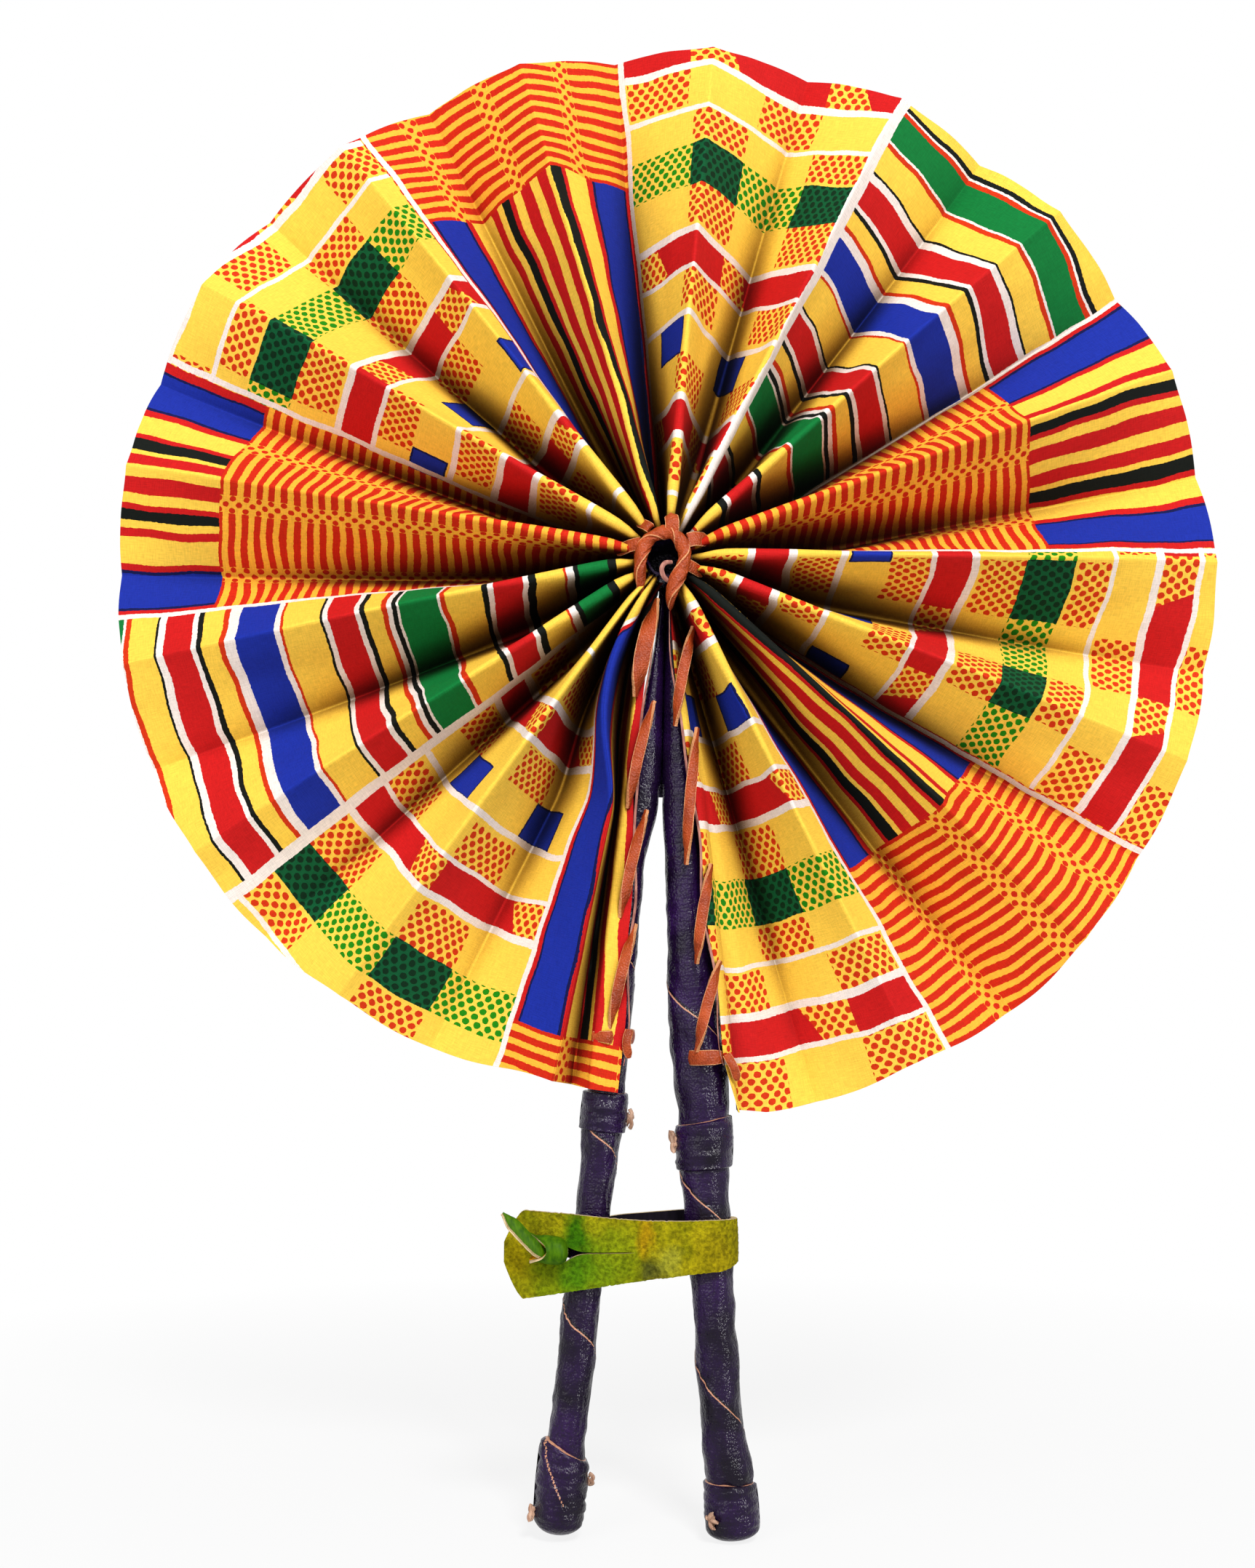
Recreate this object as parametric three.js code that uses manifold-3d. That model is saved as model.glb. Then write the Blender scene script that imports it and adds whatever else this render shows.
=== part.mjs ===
// A folding hand fan: a pleated cotton leaf that opens into a full disc, carried between
// two wooden sticks wrapped in leather, laced with a leather thong and closed by a strap.
// The fan stands upright and faces -Y. The origin is on the right stick's axis, at the grip.
import * as THREE from 'three';
import { mergeVertices } from 'three/addons/utils/BufferGeometryUtils.js';
import Module from 'manifold-3d';

const wasm = await Module();
wasm.setup();

// Driving dimensions, in millimetres and degrees.
// Angles run clockwise from straight up, as seen from the front.
const clearance = 0.3;
const gripDistance = 215;
const leftStickAngle = 186.5;
const rightStickAngle = 536.3;

// Leaf
const leafRadius = 168;
const leafInnerRadius = 10.2;
const clothThickness = 0.8;
const rimPleatDepth = 13.7;
const foldCount = 32;
const leftPanelAngle = 8.65;
const rightPanelAngle = 11.6;
const endTrim = 9;
const endTrimAngle = 58;
const leafStations = 12;
const stationGrading = 1.35;

// Sticks: distances are measured from the hub, sizes are over the leather
const stickLength = 286;
const tipDistance = 26;
const tipWidth = 2;
const bladeMidDistance = 68;
const coreTopDistance = 45;
const wrapThickness = 0.8;
const stickSides = 16;
const rightStick = {
  name: 'right',
  angle: rightStickAngle,
  clothSide: -1,
  midWidth: 8.4,
  shoulderDistance: 152,
  shoulderWidth: 14.8,
  cuffDistance: 168,
  cuffLength: 13.5,
  cuffSeatWidth: 14.2,
  neckWidth: 13.2,
  waistDistance: 216,
  waistWidth: 11.9,
  footWidth: 13.9,
  capSeatWidth: 12.8,
  capLength: 16.4,
  tipDepth: 9,
  shoulderDepth: 14,
  waistDepth: 12,
  footDepth: 13.4,
};
const leftStick = {
  name: 'left',
  angle: leftStickAngle,
  clothSide: 1,
  midWidth: 8,
  shoulderDistance: 140,
  shoulderWidth: 11,
  cuffDistance: 160.6,
  cuffLength: 12,
  cuffSeatWidth: 11.2,
  neckWidth: 10.2,
  waistDistance: 216,
  waistWidth: 10.2,
  footWidth: 10.8,
  capSeatWidth: 11.6,
  capLength: 24,
  tipDepth: 9,
  shoulderDepth: 12.4,
  waistDepth: 10.6,
  footDepth: 11.8,
};
const cuffThickness = 0.8;
const cuffPuff = 0.25;
const capThickness = 0.7;
const capFloor = 1.2;
const capEdge = 1.3;

// Lacing
const laceWidth = 2.2;
const laceThickness = 0.9;
const lastStitchInset = 22;
const laceTopDistance = 43;
const firstStitchDistance = 50;
const stitchCount = 4;
const stitchBite = 1.5;
const stitchReturnShare = 0.12;
const stitchSteepness = 4;
const stitchFlatness = 7;
const stitchSlotLength = 9;
const laceSteps = 16;
const ringRadius = 7.7;
const ringDepth = 13;
const ringWidth = 4.2;
const ringThickness = 1.4;
const ringTurns = 11;
const ringSteps = 110;
const tieWidth = 4.4;
const tieThickness = 1.2;
const tieInset = { left: 18, right: 13 };

// Strap: X and Z places are measured from the grip
const strapThickness = 1.8;
const strapTop = 19;
const strapBottom = 4.2;
const strapFlare = 2.6;
const strapDrop = 7.2;
const strapShoulderX = -55.5;
const strapPointX = -61.3;
const strapPointZ = 10;
const slitStartX = -52.8;
const slitEndX = -22.8;
const slitZ = 9.9;
const slitNarrow = 0.6;
const slitWide = 6.4;
const stalkX = -44.6;
const stalkHeight = 5;
const backArmHeight = 14;
const toggleLength = 10;
const toggleDiameter = 7.3;
const toggleX = -47.9;
const toggleTurns = 2.2;
const leafTailLength = 15;
const leafTailWidth = 5;
const leafTailTurn = 42;

// Small rawhide stitches on the cuffs and caps
const knotRadius = 1.7;
const knotThickness = 1.1;

const radians = THREE.MathUtils.degToRad;
const lerp = THREE.MathUtils.lerp;
const hub = new THREE.Vector3(
  -gripDistance * Math.sin(radians(rightStickAngle)),
  0,
  -gripDistance * Math.cos(radians(rightStickAngle)),
);
const depthAxis = new THREE.Vector3(0, 1, 0);
const halfCloth = clothThickness / 2;
const pleatAngle = (rightStickAngle - leftStickAngle - leftPanelAngle - rightPanelAngle) / (foldCount - 1);
const pleatWidth = Math.hypot(pleatChord(leafRadius), rimPleatDepth);
const lacePitch = (leafRadius - lastStitchInset - firstStitchDistance) / (stitchCount - 1);

// Materials
const finish = (color, roughness) => new THREE.MeshStandardMaterial({ color, roughness, metalness: 0 });
const clothFront = finish('#f7c92b', 0.85);
const clothBack = finish('#d8452a', 0.85);
const purpleLeather = finish('#2b1542', 0.5);
const tanLeather = finish('#b1562f', 0.65);
const rawhide = finish('#c9a184', 0.7);
const suede = finish('#9fa321', 0.95);
const toggleSuede = finish('#4c8a1a', 0.8);
const wood = finish('#b58a55', 0.7);

const fan = new THREE.Group();

function addPiece(name, geometry, material) {
  const mesh = new THREE.Mesh(geometry, material);
  mesh.name = name;
  fan.add(mesh);
}

// Point at a distance from the hub, on a ray turned clockwise from straight up
function polar(radius, angle, y) {
  const turn = radians(angle);
  return new THREE.Vector3(hub.x + radius * Math.sin(turn), y, hub.z + radius * Math.cos(turn));
}

// A closed skin over a row of rings with equal point counts.
// The end outlines are the first and last rings in flat coordinates, for their caps.
// Without them the row closes on itself.
function loft(rings, firstOutline, lastOutline) {
  const count = rings[0].length;
  const positions = rings.flat().flatMap((point) => point.toArray());
  const faces = [];
  const spans = firstOutline ? rings.length - 1 : rings.length;
  for (let row = 0; row < spans; row++) {
    const next = (row + 1) % rings.length;
    for (let column = 0; column < count; column++) {
      const beside = (column + 1) % count;
      const a = row * count + column;
      const b = row * count + beside;
      const c = next * count + beside;
      const d = next * count + column;
      faces.push([a, b, c], [a, c, d]);
    }
  }
  const addCap = (outline, offset, reversed) => {
    const turnsLeft = THREE.ShapeUtils.area(outline) > 0;
    for (const corners of THREE.ShapeUtils.triangulateShape(outline, [])) {
      const sameWay = THREE.ShapeUtils.area(corners.map((i) => outline[i])) > 0 === turnsLeft;
      const face = corners.map((i) => offset + i);
      faces.push(sameWay === reversed ? [face[0], face[2], face[1]] : face);
    }
  };
  if (firstOutline) {
    addCap(firstOutline, 0, true);
    addCap(lastOutline, (rings.length - 1) * count, false);
  }
  const point = (i) => new THREE.Vector3().fromArray(positions, 3 * i);
  const volume = faces.reduce((sum, [a, b, c]) => sum + point(a).dot(point(b).cross(point(c))), 0);
  const turned = volume < 0 ? faces.map(([a, b, c]) => [a, c, b]) : faces;
  const geometry = new THREE.BufferGeometry();
  geometry.setAttribute('position', new THREE.Float32BufferAttribute(positions, 3));
  geometry.setIndex(turned.flat());
  geometry.computeVertexNormals();
  return geometry;
}

function toSolid(geometry) {
  const bare = geometry.clone();
  bare.deleteAttribute('normal');
  bare.deleteAttribute('uv');
  const merged = mergeVertices(bare, 1e-4);
  const vertProperties = new Float32Array(merged.attributes.position.array);
  const triVerts = new Uint32Array(merged.index.array);
  return new wasm.Manifold(new wasm.Mesh({ numProp: 3, vertProperties, triVerts }));
}

function fromSolid(solid) {
  const mesh = solid.getMesh();
  const geometry = new THREE.BufferGeometry();
  geometry.setAttribute('position', new THREE.Float32BufferAttribute(mesh.vertProperties, 3));
  geometry.setIndex(Array.from(mesh.triVerts));
  geometry.computeVertexNormals();
  return geometry;
}

// Size at a distance along a stick, from a list of [distance, size] stations
function sizeAt(stations, distance) {
  let size = stations[0][1];
  for (let i = 1; i < stations.length; i++) {
    const [start, startSize] = stations[i - 1];
    const [end, endSize] = stations[i];
    if (distance >= start) {
      size = lerp(startSize, endSize, Math.min(1, (distance - start) / (end - start)));
    }
  }
  return size;
}

// Sticks

function prepareStick(stick) {
  const turn = radians(stick.angle);
  stick.along = new THREE.Vector3(Math.sin(turn), 0, Math.cos(turn));
  stick.across = new THREE.Vector3(Math.cos(turn), 0, -Math.sin(turn)).multiplyScalar(stick.clothSide);
  stick.cuffEnd = stick.cuffDistance + stick.cuffLength;
  stick.capTop = stickLength - stick.capLength;
  const foot = stick.capTop - capEdge;
  stick.widths = [
    [tipDistance, tipWidth],
    [bladeMidDistance, stick.midWidth],
    [stick.shoulderDistance, stick.shoulderWidth],
    [stick.cuffDistance, stick.cuffSeatWidth],
    [stick.cuffEnd, stick.cuffSeatWidth],
    [stick.cuffEnd + stick.cuffLength, stick.neckWidth],
    [stick.waistDistance, stick.waistWidth],
    [foot, stick.footWidth],
    [stick.capTop + capEdge, stick.capSeatWidth],
    [stickLength, stick.capSeatWidth],
  ];
  stick.depths = [
    [tipDistance, stick.tipDepth],
    [stick.shoulderDistance, stick.shoulderDepth],
    [stick.cuffEnd, stick.shoulderDepth],
    [stick.waistDistance, stick.waistDepth],
    [foot, stick.footDepth],
    [stick.capTop + capEdge, stick.footDepth - 2 * capThickness],
    [stickLength, stick.footDepth - 2 * capThickness],
  ];
}

prepareStick(rightStick);
prepareStick(leftStick);

// Point on a stick: distance from the hub, offset towards the cloth, and depth
function onStick(stick, distance, offset, y) {
  return hub
    .clone()
    .addScaledVector(stick.along, distance)
    .addScaledVector(stick.across, offset)
    .addScaledVector(depthAxis, y);
}

function stickHalfWidth(stick, distance) {
  return sizeAt(stick.widths, distance) / 2;
}

function stickHalfDepth(stick, distance) {
  return sizeAt(stick.depths, distance) / 2;
}

// One oval ring round a stick, standing off the leather's outer face by a margin
function stickOutline(stick, distance, margin) {
  const width = stickHalfWidth(stick, distance) + margin;
  const depth = stickHalfDepth(stick, distance) + margin;
  return Array.from({ length: stickSides }, (_, i) => {
    const turn = (2 * Math.PI * i) / stickSides;
    return new THREE.Vector2(width * Math.cos(turn), depth * Math.sin(turn));
  });
}

function stickRing(stick, distance, margin) {
  return stickOutline(stick, distance, margin).map((p) => onStick(stick, distance, p.x, p.y));
}

function stickLoft(stick, stops) {
  const rings = stops.map(([distance, margin]) => stickRing(stick, distance, margin));
  const ends = [stops[0], stops[stops.length - 1]];
  return loft(rings, ...ends.map(([distance, margin]) => stickOutline(stick, distance, margin)));
}

function stickStops(stick, start, end, margin) {
  const inside = stick.widths.map(([distance]) => distance).filter((s) => s > start && s < end);
  const blade = [0.25, 0.5, 0.75].map((share) => lerp(bladeMidDistance, stick.shoulderDistance, share));
  const grip = [0.5].map((share) => lerp(stick.waistDistance, stick.capTop, share));
  const extra = [...blade, ...grip].filter((s) => s > start && s < end);
  return [start, ...[...inside, ...extra].sort((a, b) => a - b), end].map((s) => [s, margin]);
}

function addStick(stick) {
  const foot = stickLength - capFloor - clearance;
  const inner = -wrapThickness;
  const core = inner - clearance;
  const outside = stickStops(stick, tipDistance, foot, 0);
  const inside = stickStops(stick, coreTopDistance - clearance, foot, inner).reverse();
  addPiece(`${stick.name}_stick_wrap`, stickLoft(stick, [...outside, ...inside]), purpleLeather);
  addPiece(`${stick.name}_stick_core`, stickLoft(stick, stickStops(stick, coreTopDistance, foot, core)), wood);

  const cuffInner = clearance;
  const cuffOuter = cuffInner + cuffThickness;
  const cuffMiddle = stick.cuffDistance + stick.cuffLength / 2;
  const cuffRings = [
    [stick.cuffDistance, cuffOuter],
    [cuffMiddle, cuffOuter + cuffPuff],
    [stick.cuffEnd, cuffOuter],
    [stick.cuffEnd, cuffInner],
    [cuffMiddle, cuffInner],
    [stick.cuffDistance, cuffInner],
  ].map(([distance, margin]) => stickRing(stick, distance, margin));
  addPiece(`${stick.name}_cuff`, loft(cuffRings), purpleLeather);

  const capInner = clearance;
  const capOuter = capInner + capThickness;
  const capSeat = stick.capTop + capEdge;
  addPiece(
    `${stick.name}_end_cap`,
    stickLoft(stick, [
      [stickLength, capOuter - capEdge],
      [stickLength - capEdge, capOuter],
      [lerp(capSeat, stickLength, 0.5), capOuter + cuffPuff],
      [capSeat, capOuter],
      [capSeat, capInner],
      [lerp(capSeat, stickLength, 0.5), capInner],
      [stickLength - capFloor, capInner],
    ]),
    purpleLeather,
  );
}

// A rawhide stitch: a small ring standing on the leather, at a turn round the stick
function addKnot(name, stick, distance, margin, turn) {
  const width = stickHalfWidth(stick, distance) + margin;
  const depth = stickHalfDepth(stick, distance) + margin;
  const out = new THREE.Vector2(Math.cos(turn) / width, Math.sin(turn) / depth).normalize();
  const lift = clearance + knotThickness / 2;
  const centre = onStick(
    stick,
    distance,
    width * Math.cos(turn) + out.x * lift,
    depth * Math.sin(turn) + out.y * lift,
  );
  const normal = stick.across.clone().multiplyScalar(out.x).addScaledVector(depthAxis, out.y);
  const geometry = new THREE.TorusGeometry(knotRadius - knotThickness / 2, knotThickness / 2, 6, 10);
  geometry.applyQuaternion(new THREE.Quaternion().setFromUnitVectors(new THREE.Vector3(0, 0, 1), normal));
  geometry.translate(centre.x, centre.y, centre.z);
  addPiece(name, geometry, rawhide);
}

// Leaf

// The cloth was cut a little short at its left end
function rimRadius(angle) {
  return leafRadius - endTrim * Math.max(0, 1 - (angle - leftStickAngle) / endTrimAngle);
}

function leafRadiusAt(angle, share) {
  return lerp(leafInnerRadius, rimRadius(angle), share);
}

function pleatChord(radius) {
  return 2 * radius * Math.sin(radians(pleatAngle / 2));
}

// Half the pleat depth: a panel keeps its width, so it stands up where its chord is short
function pleatRise(radius) {
  return Math.sqrt(Math.max(0, pleatWidth ** 2 - pleatChord(radius) ** 2)) / 2;
}

// Folds are numbered from the right stick; odd ones are valleys and even ones are ridges
function foldAngle(number) {
  return rightStickAngle - rightPanelAngle - (number - 1) * pleatAngle;
}

// Standing of the cloth's middle off a stick, with room for the thong behind it
const laceGap = 2 * clearance;
const laceLift = halfCloth + laceGap + laceThickness / 2;
const edgeStand = laceLift + laceThickness / 2 + laceGap;

function edgeFront(stick, distance) {
  return stickHalfDepth(stick, distance) + edgeStand;
}

// Section of one fold: an apex and two arms, each [tangent offset, depth], of even thickness
function foldSection(apexDepth, leftEnd, rightEnd) {
  const flip = apexDepth > 0 ? -1 : 1;
  const apex = new THREE.Vector2(0, flip * apexDepth);
  const arm = ([offset, depth], side) => {
    const end = new THREE.Vector2(offset, flip * depth);
    const run = end.clone().sub(apex).normalize();
    const out = new THREE.Vector2(side * run.y, -side * run.x);
    const limit = offset - side * (clearance / 2);
    const outer = apex.clone().addScaledVector(out, halfCloth);
    const inner = apex.clone().addScaledVector(out, -halfCloth);
    const stopAt = (start) => start.clone().addScaledVector(run, (limit - start.x) / run.x);
    return { run, outer, inner, outerEnd: stopAt(outer), innerEnd: stopAt(inner) };
  };
  const left = arm(leftEnd, -1);
  const right = arm(rightEnd, 1);
  const between = left.inner.clone().sub(right.inner);
  const share = between.cross(left.run) / right.run.cross(left.run);
  const crotch = right.inner.clone().addScaledVector(right.run, share);
  const corners = [left.outerEnd, left.outer, right.outer, right.outerEnd, right.innerEnd, crotch, left.innerEnd];
  return corners.map((p) => new THREE.Vector2(p.x, flip * p.y));
}

// Even-thickness section along an open row of points, cut square to the tangent at its end
function stripSection(row, limit) {
  const sides = [1, -1].map((side) =>
    row.map((p, i) => {
      const before = row[Math.max(0, i - 1)];
      const after = row[Math.min(row.length - 1, i + 1)];
      const run = after.clone().sub(before).normalize();
      const out = new THREE.Vector2(-run.y, run.x).multiplyScalar(side * halfCloth);
      const moved = p.clone().add(out);
      if (i < row.length - 1) return moved;
      return moved.addScaledVector(run, (limit - moved.x) / run.x);
    }),
  );
  return [...sides[0], ...sides[1].reverse()];
}

function leafLoft(angleAt, sectionAt) {
  const outlines = [];
  const rings = [];
  for (let i = 0; i < leafStations; i++) {
    const share = 1 - (1 - i / (leafStations - 1)) ** stationGrading;
    const radius = leafRadiusAt(angleAt, share);
    const outline = sectionAt(radius);
    outlines.push(outline);
    rings.push(
      outline.map((p) => {
        const angle = angleAt + THREE.MathUtils.radToDeg(Math.atan(p.x / radius));
        return polar(leafRadiusAt(angle, share), angle, p.y);
      }),
    );
  }
  return loft(rings, outlines[0], outlines[outlines.length - 1]);
}

function tangentOffset(radius, angle) {
  return radius * Math.tan(radians(angle));
}

function addFold(number) {
  const side = number % 2 ? 1 : -1;
  const isLast = number === foldCount;
  const section = (radius) => {
    const rise = pleatRise(radius);
    const half = tangentOffset(radius, pleatAngle / 2);
    const leftEnd = isLast
      ? [-tangentOffset(radius, leftPanelAngle / 2), -(rise + edgeFront(leftStick, radius)) / 2]
      : [-half, 0];
    return foldSection(side * rise, leftEnd, [half, 0]);
  };
  const name = `leaf_fold_${String(number).padStart(2, '0')}`;
  addPiece(name, leafLoft(foldAngle(number), section), number % 2 ? clothBack : clothFront);
}

// Rows of the two end strips, from the cloth's edge over the stick to the middle of the panel
function leftEdgeRow(radius) {
  const front = -edgeFront(leftStick, radius);
  const end = new THREE.Vector2(
    tangentOffset(radius, leftPanelAngle / 2),
    (front - pleatRise(radius)) / 2,
  );
  return [new THREE.Vector2(0, front), end];
}

function rightEdgeRow(radius) {
  const middle = tangentOffset(radius, rightPanelAngle - pleatAngle / 2);
  const room = middle - clearance - clothThickness;
  const front = edgeFront(rightStick, radius);
  const side = Math.min(stickHalfWidth(rightStick, radius) + edgeStand, room);
  const bend = [0, 40, 84].map((turn) => {
    const angle = radians(turn);
    return new THREE.Vector2(side * Math.sin(angle), -front * Math.cos(angle));
  });
  return [...bend, new THREE.Vector2(middle, 0)];
}

// Frame of the whip stitch at a stick distance: the cloth's edge, the way along it and its normal
function edgeFrame(stick, distance) {
  const row = stick === leftStick ? leftEdgeRow(distance) : rightEdgeRow(distance);
  const run = row[1].clone().sub(row[0]).normalize();
  return { edge: row[0], run, normal: new THREE.Vector2(-run.y, run.x) };
}

const laceReach = stitchBite - clearance - laceThickness / 2;

// Place on the thong: turn 0 is where it passes through the cloth, and half a turn is outside
// the cloth's edge; a turn of 270 degrees is in front
function lacePlace(stick, distance, turn) {
  const { edge, run, normal } = edgeFrame(stick, distance);
  const across = laceReach + stitchBite * Math.cos(turn);
  const lift = laceLift * Math.tanh(stitchSteepness * Math.sin(turn));
  const flat = edge.clone().addScaledVector(run, across).addScaledVector(normal, lift);
  const out = run
    .clone()
    .multiplyScalar(Math.cos(turn) ** stitchFlatness)
    .addScaledVector(normal, Math.tanh(stitchSteepness * Math.sin(turn)))
    .normalize();
  return {
    place: onStick(stick, distance, flat.x, flat.y),
    normal: stick.across.clone().multiplyScalar(out.x).addScaledVector(depthAxis, out.y),
  };
}

// A flat thong with soft edges along a row of places with their normals
function ribbon(stops, width, thickness) {
  const corners = [
    [0.5, 0],
    [0.36, 0.5],
    [-0.36, 0.5],
    [-0.5, 0],
    [-0.36, -0.5],
    [0.36, -0.5],
  ];
  const rings = stops.map(({ place, normal }, i) => {
    const before = stops[Math.max(0, i - 1)].place;
    const after = stops[Math.min(stops.length - 1, i + 1)].place;
    const run = after.clone().sub(before).normalize();
    const side = run.clone().cross(normal).normalize();
    const up = side.clone().cross(run);
    return corners.map(([across, lift]) =>
      place.clone().addScaledVector(side, across * width).addScaledVector(up, lift * thickness),
    );
  });
  const outline = corners.map(([across, lift]) => new THREE.Vector2(across * width, lift * thickness));
  return loft(rings, outline, outline);
}

function stitchDistance(number) {
  return firstStitchDistance + number * lacePitch;
}

function addLaceRun(stick) {
  const stops = [];
  const firstTurn = 1.25 * Math.PI;
  for (let i = 0; i < laceSteps / 2; i++) {
    const share = i / (laceSteps / 2);
    const distance = lerp(laceTopDistance, firstStitchDistance, share);
    stops.push(lacePlace(stick, distance, lerp(firstTurn, 2 * Math.PI, share)));
  }
  for (let stitch = 0; stitch < stitchCount - 1; stitch++) {
    const start = stitchDistance(stitch);
    const backSteps = laceSteps / 2;
    for (let i = 0; i < backSteps; i++) {
      const share = i / backSteps;
      const distance = start + lacePitch * stitchReturnShare * share;
      stops.push(lacePlace(stick, distance, Math.PI * share));
    }
    for (let i = 0; i < laceSteps; i++) {
      const share = i / laceSteps;
      const distance = start + lacePitch * lerp(stitchReturnShare, 1, share);
      stops.push(lacePlace(stick, distance, Math.PI * (1 + share)));
    }
  }
  const last = stitchDistance(stitchCount - 1);
  for (let i = 0; i <= 3; i++) {
    stops.push(lacePlace(stick, last + i, (Math.PI / 2) * (i / 3)));
  }
  addPiece(`lace_${stick.name}_run`, ribbon(stops, laceWidth, laceThickness), tanLeather);
}

// Slots in the cloth where the thong passes through it
function cutStitchSlots(geometry, stick) {
  let solid = toSolid(geometry);
  for (let stitch = 0; stitch < stitchCount; stitch++) {
    const distance = stitchDistance(stitch);
    const { edge, run, normal } = edgeFrame(stick, distance);
    const centre = edge.clone().addScaledVector(run, laceReach + stitchBite);
    const slot = new THREE.BoxGeometry(stitchSlotLength, laceWidth + 3 * clearance, 5 * clothThickness);
    const across = stick.across.clone().multiplyScalar(run.x).addScaledVector(depthAxis, run.y);
    const through = stick.across.clone().multiplyScalar(normal.x).addScaledVector(depthAxis, normal.y);
    const turn = new THREE.Matrix4().makeBasis(stick.along, across, through);
    if (turn.determinant() < 0) turn.makeBasis(stick.along, across, through.negate());
    slot.applyMatrix4(turn);
    const place = onStick(stick, distance, centre.x, centre.y);
    slot.translate(place.x, place.y, place.z);
    solid = solid.subtract(toSolid(slot));
  }
  return fromSolid(solid);
}

function addLeafEdges() {
  const leftAngle = leftStick.angle;
  const leftLimit = (radius) => tangentOffset(radius, leftPanelAngle / 2) - clearance / 2;
  const left = leafLoft(leftAngle, (radius) => stripSection(leftEdgeRow(radius), leftLimit(radius)));
  addPiece('leaf_edge_left', cutStitchSlots(left, leftStick), clothFront);

  // The right stick's cloth lies on the side of smaller angles, so its section is mirrored
  const rightLimit = (radius) => tangentOffset(radius, rightPanelAngle - pleatAngle / 2) - clearance / 2;
  const right = leafLoft(rightStick.angle, (radius) =>
    stripSection(rightEdgeRow(radius), rightLimit(radius)).map((p) => new THREE.Vector2(-p.x, p.y)),
  );
  addPiece('leaf_edge_right', cutStitchSlots(right, rightStick), clothFront);
}

// Twisted thong round the hub, in front of the pleats' inner ends
function addHubRing() {
  const stops = [];
  const start = leftStickAngle + leftPanelAngle / 2;
  const end = rightStickAngle - rightPanelAngle / 2;
  for (let i = 0; i <= ringSteps; i++) {
    const share = i / ringSteps;
    const angle = lerp(start, end, share);
    const twist = Math.PI * ringTurns * share;
    const out = polar(1, angle, 0).sub(hub);
    stops.push({
      place: polar(ringRadius, angle, -ringDepth),
      normal: out.multiplyScalar(Math.sin(twist)).addScaledVector(depthAxis, -Math.cos(twist)),
    });
  }
  addPiece('lace_hub_ring', ribbon(stops, ringWidth, ringThickness), tanLeather);
}

// The thong's end, tied round the outer half of a stick
function addLaceTie(stick) {
  const distance = leafRadius - tieInset[stick.name];
  const margin = clearance + tieThickness / 2;
  const width = stickHalfWidth(stick, distance) + margin;
  const depth = stickHalfDepth(stick, distance) + margin;
  const stops = [];
  for (let turn = 100; turn <= 260; turn += 16) {
    const angle = radians(turn);
    const slope = (turn - 180) / 50;
    const normal = stick.across
      .clone()
      .multiplyScalar(Math.cos(angle) / width)
      .addScaledVector(depthAxis, Math.sin(angle) / depth)
      .normalize();
    stops.push({
      place: onStick(stick, distance + slope, width * Math.cos(angle), depth * Math.sin(angle)),
      normal,
    });
  }
  addPiece(`lace_${stick.name}_tie`, ribbon(stops, tieWidth, tieThickness), tanLeather);
}

// Strap

const strapStand = clearance + strapThickness / 2;
const strapMiddle = (strapTop + strapBottom) / 2;

// Place of a stick's axis and its half sizes at a height over the grip
function stickAtHeight(stick, z) {
  const distance = (z - hub.z) / stick.along.z;
  return {
    x: hub.x + distance * stick.along.x,
    halfWidth: stickHalfWidth(stick, distance),
    halfDepth: stickHalfDepth(stick, distance),
  };
}

const rightAtStrap = stickAtHeight(rightStick, strapMiddle);
const leftAtStrap = stickAtHeight(leftStick, strapMiddle);
const strapLayer = Math.max(rightAtStrap.halfDepth, leftAtStrap.halfDepth) + strapStand;

// A strip of leather on edge: a path in plan with its top and bottom heights
function strap(stops) {
  const rings = stops.map(({ x, y, top, bottom }, i) => {
    const before = stops[Math.max(0, i - 1)];
    const after = stops[Math.min(stops.length - 1, i + 1)];
    const run = new THREE.Vector2(after.x - before.x, after.y - before.y).normalize();
    const side = new THREE.Vector2(-run.y, run.x).multiplyScalar(strapThickness / 2);
    return [
      new THREE.Vector3(x + side.x, y + side.y, top),
      new THREE.Vector3(x - side.x, y - side.y, top),
      new THREE.Vector3(x - side.x, y - side.y, bottom),
      new THREE.Vector3(x + side.x, y + side.y, bottom),
    ];
  });
  const outline = [
    new THREE.Vector2(1, 1),
    new THREE.Vector2(-1, 1),
    new THREE.Vector2(-1, -1),
    new THREE.Vector2(1, -1),
  ];
  return loft(rings, outline, outline);
}

function addStrapLoop() {
  const stops = [];
  const halfX = rightAtStrap.halfWidth + strapStand;
  for (let turn = -90; turn <= 90; turn += 15) {
    const angle = radians(turn);
    stops.push({
      x: rightAtStrap.x + halfX * Math.cos(angle),
      y: strapLayer * Math.sin(angle),
      top: strapTop,
      bottom: strapBottom,
    });
  }
  addPiece('strap_loop', strap(stops), suede);
}

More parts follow.
